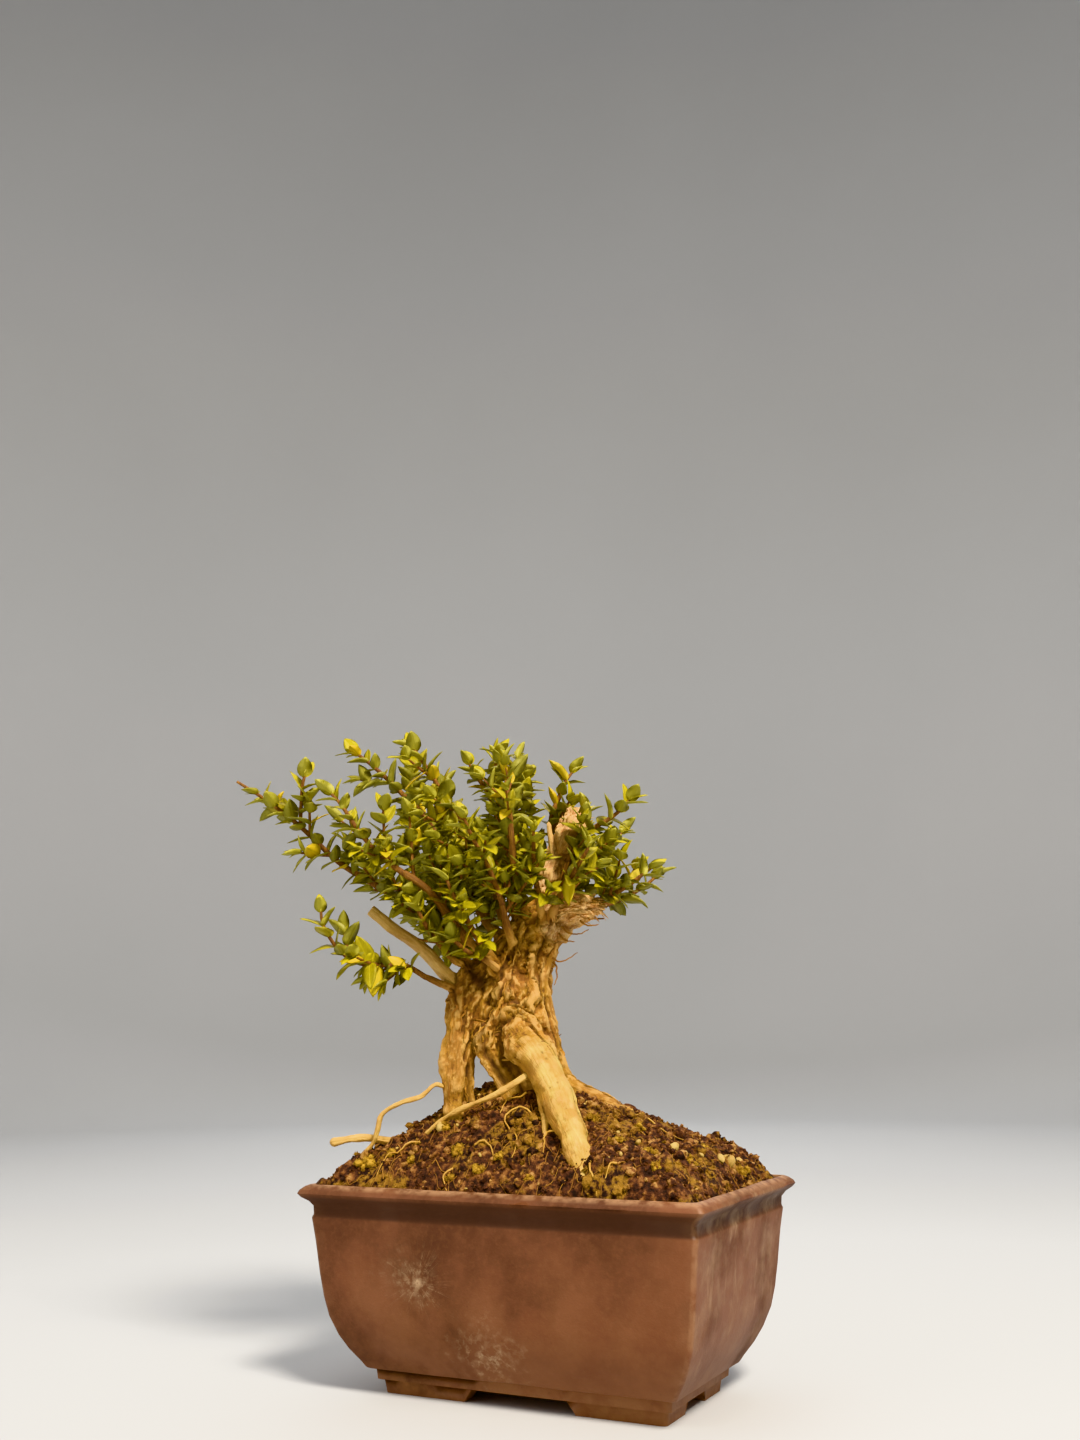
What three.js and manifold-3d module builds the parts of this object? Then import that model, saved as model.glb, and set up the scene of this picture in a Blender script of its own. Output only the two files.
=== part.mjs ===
// A honeysuckle bonsai in its training pot, in millimetres with Z up.
// The pot's long side lies along X and its front faces -Y.
// The plant's routes are given in a frame turned about Z: X to the right of
// the best viewing side, Y away from the viewer.
import * as THREE from "three";
import Module from "manifold-3d";

const wasm = await Module();
wasm.setup();
const { Manifold, Mesh } = wasm;

const POT_LENGTH = 155;
const POT_DEPTH = 100;
const FOOT_HEIGHT = 4.8;
const FLOOR_TOP = 10.5;
const DRAIN_RADIUS = 6;
const DRAIN_X = 27;
const SOIL_EDGE = 68;
const SOIL_RISE = 38;
const SOIL_HALF = [73, 45.5];
const PEAK = [-14, 0];
const GAP = 0.3;
const PLANT_TURN = THREE.MathUtils.degToRad(26.7);
const LEAF_PITCH = 4.4;
const LEAF_LENGTH = 10.5;
const LEAF_WIDTH = 0.58;
const LEAF_THICKNESS = 0.9;
const PAIR_TURN = THREE.MathUtils.degToRad(75);
const GOLDEN_TURN = THREE.MathUtils.degToRad(137.5);
const UP = new THREE.Vector3(0, 0, 1);

// How far each outer ring of the pot lies inside the rim, and its height.
const POT_OUTSIDE = [
  [23.9, 0], [23.2, 4.4], [20.9, 4.8], [20.3, 6.6], [17, 11.7], [13.9, 15.4],
  [11.2, 20.3], [8.7, 26.8], [7.3, 33.6], [6.2, 41.4], [4.9, 53], [3.6, 64],
  [2.9, 66], [0.9, 67.6], [0, 68.8], [0.5, 69.9], [1.8, 71], [3.1, 71.6],
];
const POT_INSIDE = [
  [3.9, 71.6], [4.2, 70.4], [4.3, 67.2], [7.6, 60], [9.8, 41.4], [12.3, 26.8],
  [15.4, 19.6], [18.6, 15.2], [24, 11.2], [27, FLOOR_TOP],
];

// The plant's woody members: x, y, z and radius at each point.
const WOOD = {
  column: [
    [-9, 4, 86, 7], [-8, 4, 97, 9], [-7, 4, 108, 11.5], [-9, 3, 119, 13.2],
    [-12, 3, 136, 13], [-11, 3, 149, 12], [-6, 2, 160, 10.5], [0, 2, 168, 8.5],
  ],
  torn_knob: [[-3, 0, 162, 8], [5, -1, 168, 7], [12, -2, 170.5, 5.4], [18, -3, 170, 3]],
  dead_top: [[-1, 2, 166, 6], [1, 4, 178, 5], [4, 3.5, 190, 4.6], [8, 3, 199, 4.3], [11, 2, 206, 2.8]],
  left_leg: [
    [-19, 1, 151, 7], [-27, 0, 146, 6.5], [-31, -2, 140, 6], [-33, -3, 133, 5.6],
    [-34, -4, 120, 5.2], [-35, -5, 109, 5], [-34, -5, 100, 4.5], [-33, -6, 92, 3.8], [-33, -6, 83, 3],
  ],
  left_web: [[-22, 0, 143, 7], [-25, -1, 132, 5.5], [-27, -2, 121, 4]],
  big_leg: [
    [-15, -1, 134, 5.5], [-13, -5, 129, 7], [-10, -11, 121, 6.8], [-4, -16, 114, 6.3], [1, -22, 105, 6],
    [5, -30, 96, 5.7], [8, -37, 89, 5.3], [10.3, -43, 82.5, 4.7], [12, -48, 77, 4], [13, -51, 72, 3.2],
  ],
  middle_leg: [
    [-19, -2, 136, 6], [-22, -4, 125, 5], [-22, -5, 116, 4], [-18, -6, 109, 3.8],
    [-14, -7, 103, 3.6], [-12, -7, 96, 3.4], [-11, -7, 87, 3],
  ],
  slanted_root: [
    [-5, -17, 111, 1.5], [-15, -17, 105, 1.35], [-27, -13, 100, 1.25], [-40, -7, 93, 1.15], [-47, -5, 87, 1],
  ],
  arched_root: [
    [-33, -5, 107, 1.2], [-37, -6, 105, 1], [-42, -8, 106, 0.9], [-47, -9, 102, 0.9], [-54, -9, 100, 0.9],
    [-61, -8, 96, 0.9], [-63, -7, 90, 0.9], [-65, -6, 85, 0.85], [-70, -4, 80, 0.8], [-73, -3, 74, 0.8],
  ],
  stick_root: [
    [-34, -5, 90, 2], [-45, -3, 84, 1.6], [-57, 0, 85.5, 1.4], [-66, -2, 87, 1.3], [-73, -4, 87, 1.4],
    [-79, -5, 86, 1.7],
  ],
  right_root: [
    [0, 4, 110, 3.4], [8, 1, 105, 2.6], [18, -4, 100.5, 2.3], [28, -9, 95.5, 1.9], [35, -12, 92, 1.6],
    [42, -14, 86, 1.2],
  ],
  pale_root: [[-3, -19, 110, 2.2], [-3, -23, 102, 1.8], [-2, -26.5, 95, 1.4], [-2, -29, 88, 1]],
  cut_stub: [
    [-30, -2, 137, 3.6], [-35, -3, 142, 2.8], [-47, -5, 155, 2.5], [-57, -6, 162, 2.3], [-67, -7, 170, 2.2],
  ],
  right_band: [
    [2, -1, 157, 2.6], [-1, -2, 150, 2.8], [-3, -3.5, 143, 3], [-2, -2.5, 134, 3.2], [0.2, -1.5, 126, 3.4],
    [0.8, 0, 118, 3.4], [3.3, -0.5, 111, 3.2], [8, 1, 105.5, 2.6],
  ],
};
const SUNK_MEMBERS = [
  "column", "left_leg", "big_leg", "middle_leg", "slanted_root", "arched_root", "stick_root",
  "right_root", "pale_root", "right_band",
];
const COLUMN_SIDES = 12;
const BOUGH_SHARE = 0.86;

// Boughs: the woody part belongs to the trunk and the leafy part goes on from it.
const BOUGHS = [
  {
    wood: [[-22, -1, 146, 4], [-30, -3, 150, 3], [-36, -4, 154, 2.6], [-46, -6, 166, 2.3], [-56, -8, 174, 2]],
    leafy: [[-68, -10, 181], [-79, -12, 188], [-93, -14, 201], [-106, -15, 211], [-117, -16, 218]],
    isCut: true,
  },
  {
    wood: [[-24, -6, 152, 3.4], [-32, -14, 160, 2.6], [-43, -20, 175, 2.1], [-53, -24, 182, 1.8]],
    leafy: [[-61, -26, 188], [-69, -28, 197], [-75, -30, 206], [-83, -30, 215]],
  },
  {
    wood: [[-16, 3, 158, 3.6], [-24, 5, 167, 2.8], [-36, 10, 187, 2.2], [-48, 10, 208, 1.8]],
    leafy: [[-56, 10, 216], [-64, 10, 224], [-72, 10, 231], [-81, 10, 237]],
  },
  {
    wood: [[-12, -2, 158, 3.6], [-17, -5, 167, 2.8], [-22, -12, 186, 2.1], [-32, -16, 202, 1.7]],
    leafy: [[-39, -17, 212], [-43, -18, 219], [-49, -18, 228], [-55, -18, 235]],
  },
  {
    wood: [[-8, 4, 160, 3.4], [-13, 6, 170, 2.6], [-17, 12, 191, 2], [-20, 14, 210, 1.6]],
    leafy: [[-24, 14, 219], [-29, 14, 226], [-33, 14, 235]],
  },
  {
    wood: [
      [-6, -3, 160, 3.2], [-9, -7, 170, 2.4], [-12, -18, 181, 2.1], [-13, -24, 193, 1.9],
      [-14, -26, 204, 1.7], [-15, -26, 216, 1.4],
    ],
    leafy: [],
  },
  {
    wood: [[0, 5, 165, 3.2], [1, 9, 175, 2.5], [2, 12, 194, 2]],
    leafy: [[2, 12, 207], [5, 12, 215], [8, 12, 222], [14, 12, 230]],
  },
  {
    wood: [[1, -1, 166, 3], [4, -2, 175, 2.4], [8, -5, 188, 1.9]],
    leafy: [[15, -8, 198], [25, -10, 204], [36, -12, 214]],
  },
  {
    wood: [[3, 4, 166, 2.8], [7, 6, 174, 2.2], [13, 8, 183, 1.7]],
    leafy: [[20, 8, 189], [25, 6, 194], [27, 4, 202]],
  },
  {
    wood: [[3, 2, 166, 3], [9, 1, 170.5, 2.4], [16, 0, 172, 1.8]],
    leafy: [[22, -2, 174], [30, -4, 178], [37, -6, 183], [44, -8, 188]],
  },
  {
    wood: [[-31, -3, 139, 3.2], [-37, -6, 141, 2.2], [-46, -10, 145, 1.6]],
    leafy: [
      [-53, -14, 149], [-61, -16, 149], [-70, -18, 150], [-77, -20, 155], [-82, -22, 163], [-84, -24, 174],
    ],
  },
  {
    wood: [[-14, 6, 156, 3.4], [-20, 10, 163, 2.6], [-31, 20, 178, 2], [-42, 29, 194, 1.7]],
    leafy: [[-50, 33, 204], [-58, 36, 215]],
  },
  {
    wood: [[-8, 8, 158, 3.2], [-9, 12, 167, 2.5], [-12, 24, 184, 1.9]],
    leafy: [[-14, 32, 198], [-13, 38, 212], [-10, 42, 223]],
  },
  {
    wood: [[0, 7, 164, 3], [4, 11, 172, 2.3], [13, 20, 182, 1.7]],
    leafy: [[20, 28, 191], [27, 34, 200], [35, 39, 208]],
  },
  {
    wood: [[-20, 6, 148, 3.6], [-28, 10, 154, 2.6], [-40, 18, 163, 1.9]],
    leafy: [[-53, 26, 173], [-64, 32, 183], [-73, 36, 193]],
  },
  {
    wood: [[2, 7, 163, 3], [9, 11, 168, 2.2], [18, 16.5, 171.5, 1.6]],
    leafy: [[30, 24, 176], [40, 29, 182], [49, 33, 190]],
  },
  {
    wood: [[-12, -6, 154, 3], [-15, -14, 162, 2.3], [-17, -22, 171, 1.7]],
    leafy: [[-21, -30, 182], [-27, -37, 193], [-32, -42, 205]],
  },
  {
    wood: [[0, -5, 163, 2.8], [3, -12, 171, 2.1], [7, -19, 176, 1.6]],
    leafy: [[10, -25, 182], [14, -30, 188], [17, -33, 195]],
  },
  {
    wood: [[-20, -6, 150, 3], [-24, -13, 156, 2.2], [-27, -18, 160, 1.7]],
    leafy: [[-31, -24, 167], [-35, -28, 175], [-39, -31, 184]],
  },
  {
    wood: [[-28, -4, 147, 2.8], [-34, -10, 150, 2.1], [-38, -14, 154, 1.6]],
    leafy: [[-43, -18, 160], [-47, -21, 167], [-50, -23, 175]],
  },
  {
    wood: [[-18, -7, 147, 2.6], [-21, -14, 149, 2], [-24, -18, 151, 1.6]],
    leafy: [[-29, -23, 153], [-34, -27, 157], [-38, -30, 162]],
  },
  {
    wood: [[-2, -6, 164, 2.6], [-3, -12, 171, 2], [-4, -17, 177, 1.6]],
    leafy: [[-5, -23, 185], [-5, -28, 193], [-5, -31, 202]],
  },
];
// Forks that the leafy shoots carry besides their ruled side twigs, by bough number.
const FORKS = [
  { bough: 0, points: [[-93, -14, 201], [-92, -18, 214], [-90, -20, 225]] },
  { bough: 4, points: [[-21.5, 14, 213], [-21, 6, 222], [-19, 2, 230], [-16, 0, 236]] },
];
// The few leaves that stand out in size: bough number, foot and tip.
const LARGE_LEAVES = [
  { bough: 10, foot: [-64, -17, 149], tip: [-63, -21, 139] },
  { bough: 6, foot: [8, 12, 222], tip: [3, 10, 231] },
  { bough: 17, foot: [9, -23, 180], tip: [6, -26, 171] },
];

/** A number from 0 to 1 that is always the same for the same input. */
function draw(n) {
  const wave = Math.sin(n * 12.9898) * 43758.5453;
  return wave - Math.floor(wave);
}

/** A point of the plant's turned frame, in the pot's frame. */
function planted([x, y, z]) {
  const cos = Math.cos(PLANT_TURN);
  const sin = Math.sin(PLANT_TURN);
  return new THREE.Vector3(x * cos - y * sin, x * sin + y * cos, z);
}

// Solids.

/** A closed solid from indexed points and triangles. */
function solidOf(points, triangles) {
  const vertProperties = new Float32Array(points.flatMap((p) => [p.x, p.y, p.z]));
  const triVerts = new Uint32Array(triangles.flat());
  return new Manifold(new Mesh({ numProp: 3, vertProperties, triVerts }));
}

/** A skin through rings of equally many points, closed at both ends. */
function loft(rings) {
  const n = rings[0].length;
  const points = rings.flat();
  const last = points.length - n;
  const triangles = [];
  for (let a = 0; a < last; a++) {
    const b = (a % n) + 1 < n ? a + 1 : a + 1 - n;
    triangles.push([a, b, b + n], [a, b + n, a + n]);
  }
  if (n < 7) {
    for (let i = 1; i + 1 < n; i++) triangles.push([0, i + 1, i], [last, last + i, last + i + 1]);
    return solidOf(points, triangles);
  }
  const middle = (ring) => ring.reduce((sum, p) => sum.add(p), new THREE.Vector3()).divideScalar(n);
  points.push(middle(rings[0]), middle(rings.at(-1)));
  for (let i = 0; i < n; i++) {
    const next = (i + 1) % n;
    triangles.push([last + n, next, i], [last + n + 1, last + i, last + next]);
  }
  return solidOf(points, triangles);
}

/** A ring of a rectangle with round corners, with extra points along its sides. */
function roundedRing(halfX, halfY, radius, z, cornerSteps = 4, sideSteps = [1, 1]) {
  const ring = [];
  for (let corner = 0; corner < 4; corner++) {
    const sx = corner === 0 || corner === 3 ? 1 : -1;
    const sy = corner < 2 ? 1 : -1;
    for (let i = 0; i <= cornerSteps; i++) {
      const angle = (corner + i / cornerSteps) * (Math.PI / 2);
      ring.push(
        new THREE.Vector3(
          sx * (halfX - radius) + radius * Math.cos(angle),
          sy * (halfY - radius) + radius * Math.sin(angle),
          z,
        ),
      );
    }
    const steps = sideSteps[corner % 2];
    const from = ring.at(-1).clone();
    const along = corner % 2 ? new THREE.Vector3(0, -sy, 0) : new THREE.Vector3(-sx, 0, 0);
    const reach = corner % 2 ? 2 * (halfY - radius) : 2 * (halfX - radius);
    for (let i = 1; i < steps; i++) ring.push(from.clone().addScaledVector(along, (reach * i) / steps));
  }
  return ring;
}

/** A box between two corners. */
function box(low, high) {
  const ring = (z) => [
    new THREE.Vector3(low[0], low[1], z),
    new THREE.Vector3(high[0], low[1], z),
    new THREE.Vector3(high[0], high[1], z),
    new THREE.Vector3(low[0], high[1], z),
  ];
  return loft([ring(low[2]), ring(high[2])]);
}

/** Two directions square to each other and to a given one. */
function across(direction) {
  const level = Math.abs(direction.z) < 0.98 ? UP : new THREE.Vector3(0, 1, 0);
  const u = new THREE.Vector3().crossVectors(level, direction).normalize();
  return [u, new THREE.Vector3().crossVectors(direction, u)];
}

/** A round, tapering tube with closed ends. */
function tube(stem, sides, extra = 0, ridge = () => 1) {
  const { points, radii } = stem;
  let [u] = across(tangentAt(points, 0));
  const rings = points.map((point, j) => {
    const tangent = tangentAt(points, j);
    u = u.clone().addScaledVector(tangent, -u.dot(tangent)).normalize();
    const v = new THREE.Vector3().crossVectors(tangent, u);
    return Array.from({ length: sides }, (_, i) => {
      const angle = (i * 2 * Math.PI) / sides;
      const radius = radii[j] * ridge(angle, j) + extra;
      return point
        .clone()
        .addScaledVector(u, radius * Math.cos(angle))
        .addScaledVector(v, radius * Math.sin(angle));
    });
  });
  return loft(rings);
}

/** The direction of a line of points at one of them. */
function tangentAt(points, j) {
  const before = points[Math.max(j - 1, 0)];
  const after = points[Math.min(j + 1, points.length - 1)];
  return after.clone().sub(before).normalize();
}

/** All solids joined. */
function joined(solids) {
  return Manifold.union(solids);
}

/** The largest body of a solid, without loose scraps. */
function largest(solid) {
  const bodies = solid.decompose();
  return bodies.reduce((best, body) => (body.volume() > best.volume() ? body : best));
}

// Stems.

/** A smooth line through listed points, with the radius along it. */
function stemThrough(list, steps) {
  const points = [];
  const radii = [];
  const pick = (i) => list[Math.min(Math.max(i, 0), list.length - 1)];
  for (let i = 0; i + 1 < list.length; i++) {
    for (let k = 0; k < steps; k++) {
      const t = k / steps;
      const blend = [0, 1, 2].map((axis) => {
        const [a, b, c, d] = [pick(i - 1)[axis], pick(i)[axis], pick(i + 1)[axis], pick(i + 2)[axis]];
        const bend = 2 * a - 5 * b + 4 * c - d;
        return 0.5 * (2 * b + (c - a) * t + bend * t * t + (3 * b - a - 3 * c + d) * t * t * t);
      });
      points.push(planted(blend));
      radii.push(pick(i)[3] * (1 - t) + pick(i + 1)[3] * t);
    }
  }
  points.push(planted(list.at(-1)));
  radii.push(list.at(-1)[3]);
  return measured({ points, radii });
}

/** The same stem with the distance from its foot at each point. */
function measured(stem) {
  stem.distances = [0];
  for (let j = 1; j < stem.points.length; j++) {
    stem.distances.push(stem.distances[j - 1] + stem.points[j].distanceTo(stem.points[j - 1]));
  }
  stem.length = stem.distances.at(-1);
  return stem;
}

/** Takes a length off the end of a stem, so that its last leaves end where the route did. */
function shorten(stem, length) {
  const back = stem.points.at(-2).clone().sub(stem.points.at(-1));
  stem.points.at(-1).addScaledVector(back.normalize(), length);
}

/** Where a stem is, which way it goes and how thick it is at a distance from its foot. */
function spotOn(stem, distance) {
  let j = 1;
  while (j + 1 < stem.points.length && stem.distances[j] < distance) j++;
  const span = stem.distances[j] - stem.distances[j - 1];
  const share = (distance - stem.distances[j - 1]) / span;
  const from = stem.points[j - 1];
  const tangent = stem.points[j].clone().sub(from).divideScalar(span);
  return {
    point: from.clone().addScaledVector(tangent, share * span),
    tangent,
    radius: stem.radii[j - 1] * (1 - share) + stem.radii[j] * share,
  };
}

/** Points every 1.5 mm along a stem, each with its radius. */
function samplesOf(stem) {
  const count = Math.max(Math.ceil(stem.length / 1.5), 1);
  return Array.from({ length: count + 1 }, (_, i) => {
    const distance = (stem.length * i) / count;
    return { ...spotOn(stem, distance), distance };
  });
}

const takenByStems = [];

/** Whether a stem stays clear of every stem of another owner, past its own foot. */
function isClear(stem, owner, footLength) {
  return samplesOf(stem).every((sample) =>
    takenByStems.every(
      (other) =>
        other.owner === owner ||
        (sample.distance < footLength && other.owner === "trunk") ||
        sample.point.distanceTo(other.point) > sample.radius + other.radius + 0.6,
    ),
  );
}

function claim(stem, owner) {
  for (const sample of samplesOf(stem)) takenByStems.push({ ...sample, owner });
}

/** A short twig that leaves a stem sideways and then turns up a little. */
function twigFrom(stem, distance, turn, reach, radius) {
  const spot = spotOn(stem, distance);
  const [u, v] = across(spot.tangent);
  const direction = spot.tangent
    .clone()
    .multiplyScalar(0.62)
    .addScaledVector(u, 0.78 * Math.cos(turn))
    .addScaledVector(v, 0.78 * Math.sin(turn))
    .addScaledVector(UP, 0.12)
    .normalize();
  const points = [spot.point];
  for (const k of [0.5, 1]) {
    const rise = 0.1 * reach * k * k;
    points.push(spot.point.clone().addScaledVector(direction, reach * k).addScaledVector(UP, rise));
  }
  return measured({ points, radii: [radius, radius * 0.85, radius * 0.6] });
}

/** The first of some turns about a stem at which a twig stays clear, or nothing. */
function clearTwig(stem, distance, turn, reach, radius, owner) {
  for (let attempt = 0; attempt < 6; attempt++) {
    const twig = twigFrom(stem, distance, turn + attempt * 0.9, reach * (1 - 0.07 * attempt), radius);
    if (isClear(twig, owner, 7)) return twig;
  }
  return null;
}

// Leaves.

/** Where the pairs of leaves of a stem stand, how they lie and how long they are. */
function leavesOf({ stem, bare, seed, isCut }) {
  const leaves = [];
  const count = Math.floor((stem.length - bare - (isCut ? 8 : 1.5)) / LEAF_PITCH);
  for (let pair = 0; pair <= count; pair++) {
    const distance = bare + pair * LEAF_PITCH;
    const share = distance / stem.length;
    for (let side = 0; side < 2; side++) {
      const key = seed * 37.7 + pair * 5.31 + side * 2.17;
      const turn = seed + pair * PAIR_TURN + side * Math.PI + 0.4 * (draw(key) - 0.5);
      const lean = 1.08 - 0.42 * share + 0.24 * (draw(key + 1) - 0.5);
      const length = LEAF_LENGTH * (1 - 0.22 * share) * (0.84 + 0.3 * draw(key + 2));
      leaves.push(leafAt(spotOn(stem, distance), turn, lean, length, { pair, side }));
    }
  }
  for (let side = 0; side < 2 && !isCut; side++) {
    const turn = seed + (count + 1) * PAIR_TURN + side * Math.PI;
    const length = LEAF_LENGTH * (0.72 + 0.15 * draw(seed + side));
    leaves.push(leafAt(spotOn(stem, stem.length - 0.3), turn, 0.42, length, { pair: "tip", side }));
  }
  return leaves;
}

function leafAt(spot, turn, lean, length, label) {
  const [u, v] = across(spot.tangent);
  const direction = spot.tangent
    .clone()
    .multiplyScalar(Math.cos(lean))
    .addScaledVector(u, Math.sin(lean) * Math.cos(turn))
    .addScaledVector(v, Math.sin(lean) * Math.sin(turn))
    .normalize();
  return { ...label, ...laidLeaf(spot.point, direction, spot.tangent, spot.radius), length };
}

/** A leaf's foot and its facing, which looks up the stem and to the sky. */
function laidLeaf(point, direction, tangent, radius) {
  const face = tangent.clone().multiplyScalar(0.7).addScaledVector(UP, 0.6);
  face.addScaledVector(direction, -face.dot(direction));
  if (face.length() < 0.1) face.copy(across(direction)[0]);
  return { foot: point.clone().addScaledVector(direction, -0.3 * radius), direction, face: face.normalize() };
}

/** A pointed oval blade, thickest at its middle, cupped up at its edges. */
function blade(leaf, margin = 0) {
  const { foot, direction, face } = leaf;
  const aside = new THREE.Vector3().crossVectors(face, direction);
  const length = leaf.length + 2 * margin;
  const half = (leaf.length * LEAF_WIDTH) / 2 + margin;
  const thick = LEAF_THICKNESS + 2 * margin;
  const start = foot.clone().addScaledVector(direction, -margin);
  const spot = (along, out, lift) =>
    start
      .clone()
      .addScaledVector(direction, along * length)
      .addScaledVector(aside, out * half)
      .addScaledVector(face, lift);
  const under = -0.4 * thick;
  const points = [
    spot(0, 0, 0), spot(0.3, -0.86, under), spot(0.62, -0.84, under), spot(1, 0, under - 0.04 * leaf.length),
    spot(0.62, 0.84, under), spot(0.3, 0.86, under), spot(0.42, 0, thick + under),
  ];
  const triangles = [[0, 5, 1], [1, 5, 4], [1, 4, 2], [2, 4, 3]];
  for (let i = 0; i < 6; i++) triangles.push([i, (i + 1) % 6, 6]);
  return solidOf(points, triangles);
}

// Clearance between solids of different nodes.

const takenBySolids = [];

function boundsOf(solid) {
  const { min, max } = solid.boundingBox();
  return new THREE.Box3(new THREE.Vector3(...min), new THREE.Vector3(...max));
}

function occupy(solid, owner, label = {}) {
  takenBySolids.push({ solid, owner, bounds: boundsOf(solid), ...label });
}

function crosses(one, other) {
  return one.bounds.intersectsBox(other.bounds) && one.solid.intersect(other.solid).volume() > 1e-5;
}

/** Whether a blade comes too near another node, or cuts a leaf of its own that isn't its mate. */
function isRefused(leaf, owner, mates) {
  const solid = blade(leaf);
  const own = { solid, bounds: boundsOf(solid) };
  const wideSolid = blade(leaf, GAP);
  const wide = { solid: wideSolid, bounds: boundsOf(wideSolid) };
  return takenBySolids.some((other) => {
    if (other.owner !== owner) return crosses(wide, other);
    return other.isLeaf && other.mates !== mates && crosses(own, other);
  });
}

// Pot.

function potRing(inset, z, radius) {
  return roundedRing(POT_LENGTH / 2 - inset, POT_DEPTH / 2 - inset, radius, z, 2);
}

function buildPot() {
  const outside = POT_OUTSIDE.map(([inset, z]) => potRing(inset, z, 1.8));
  const inside = POT_INSIDE.map(([inset, z]) => potRing(inset, z, 2.2));
  const recess = loft([potRing(29.5, -1, 3), potRing(29.5, FOOT_HEIGHT, 3)]);
  const frontGap = footGap(44, 36, POT_DEPTH);
  const sideGap = footGap(20, 14, POT_LENGTH).rotate([0, 0, 90]);
  const drains = [-DRAIN_X, DRAIN_X].map((x) => {
    const ring = (z) =>
      Array.from({ length: 16 }, (_, i) => {
        const angle = (i * Math.PI) / 8;
        return new THREE.Vector3(x + DRAIN_RADIUS * Math.cos(angle), DRAIN_RADIUS * Math.sin(angle), z);
      });
    return loft([ring(FOOT_HEIGHT - 2), ring(FLOOR_TOP + 2)]);
  });
  return loft([...outside, ...inside]).subtract(joined([recess, frontGap, sideGap, ...drains]));
}

/** The open stretch between two feet, with slanted ends, as a bar along Y. */
function footGap(bottom, top, reach) {
  const end = (y) => [
    new THREE.Vector3(-bottom / 2, y, -1),
    new THREE.Vector3(-top / 2, y, FOOT_HEIGHT),
    new THREE.Vector3(top / 2, y, FOOT_HEIGHT),
    new THREE.Vector3(bottom / 2, y, -1),
  ];
  return loft([end(-reach / 2), end(reach / 2)]);
}

/** A square of drainage mesh over a drain hole. */
function buildDrainMesh(x) {
  const half = 10;
  const low = FLOOR_TOP + GAP;
  const sheet = box([x - half, -half, low], [x + half, half, low + 1]);
  const holes = [];
  for (const i of [-1, 1]) {
    for (const j of [-1, 1]) {
      const [cx, cy] = [x + i * 4, j * 4];
      holes.push(box([cx - 2.5, cy - 2.5, low - 1], [cx + 2.5, cy + 2.5, low + 2]));
    }
  }
  return sheet.subtract(joined(holes));
}

// Soil.

/** A point of the mound, a share of the way from a point of the soil's edge to the peak. */
function moundPoint(edge, share) {
  const oval = 1 / Math.hypot(edge.x / SOIL_HALF[0], edge.y / SOIL_HALF[1]);
  const inward = 1 + (oval - 1) * 0.9 * THREE.MathUtils.smoothstep(share, 0.1, 0.5);
  const x = edge.x * inward + (PEAK[0] - edge.x * inward) * share;
  const y = edge.y * inward + (PEAK[1] - edge.y * inward) * share;
  const bank = 3 + 5 * THREE.MathUtils.smoothstep(x, 10, 60);
  const rise = bank * (1 - Math.exp(-share / 0.06)) + (SOIL_RISE - bank) * Math.sin((share * Math.PI) / 2);
  return new THREE.Vector3(x, y, SOIL_EDGE + rise);
}

function buildSoil() {
  const sides = [6, 4];
  const ringAt = (inset, z) =>
    roundedRing(POT_LENGTH / 2 - inset - GAP, POT_DEPTH / 2 - inset - GAP, 2.2, z, 2, sides);
  const rings = POT_INSIDE.filter(([, z], i) => z < SOIL_EDGE && i % 2)
    .map(([inset, z]) => ringAt(inset, z === FLOOR_TOP ? z + GAP : z))
    .reverse();
  const edge = ringAt(4.2, SOIL_EDGE);
  rings.push(edge);
  const shares = [0.05, 0.14, 0.27, 0.42, 0.58, 0.76, 0.9];
  shares.forEach((share, j) => {
    rings.push(
      edge.map((p, i) => {
        const clump = (draw(i * 3.1 + j * 17.3) - 0.5) * (share < 0.08 ? 1 : 2.6);
        return moundPoint(p, share).addScaledVector(UP, clump);
      }),
    );
  });
  const cuts = SUNK_MEMBERS.map((name) => tube(wood[name], sidesOf(name), GAP, ridgeOf(name)));
  for (const x of [-DRAIN_X, DRAIN_X]) {
    cuts.push(box([x - 10.3, -10.3, 5], [x + 10.3, 10.3, FLOOR_TOP + 1.6]));
  }
  return largest(loft(rings).subtract(joined(cuts)));
}

// Trunk.

/** How many sides a woody member's tube has. */
function sidesOf(name) {
  if (name === "column") return COLUMN_SIDES;
  return name.endsWith("root") || name === "cut_stub" || name === "right_band" ? 5 : 8;
}

/** Bark ridges that run along the thick members. */
function ridgeOf(name) {
  const depths = { column: 0.12, left_leg: 0.08, middle_leg: 0.1, dead_top: 0.22, torn_knob: 0.24 };
  const depth = depths[name] ?? 0.03;
  const lobes = { column: 5, dead_top: 3, torn_knob: 4 }[name] ?? 3;
  return (angle, j) => 1 + depth * Math.cos(lobes * angle + 0.35 * j) * (0.7 + 0.6 * draw(j * 2.3 + lobes));
}

const wood = {};
for (const [name, list] of Object.entries(WOOD)) wood[name] = stemThrough(list, 1);
const boughs = BOUGHS.map((bough) => {
  const rows = bough.wood.map(([x, y, z, r]) => [x, y, z, r * BOUGH_SHARE]);
  return stemThrough(rows, 1);
});

function trunkTubes(extra) {
  const members = Object.entries(wood).map(([name, stem]) => {
    return tube(stem, sidesOf(name), extra, ridgeOf(name));
  });
  return [...members, ...boughs.map((stem) => tube(stem, 5, extra))];
}

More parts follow.
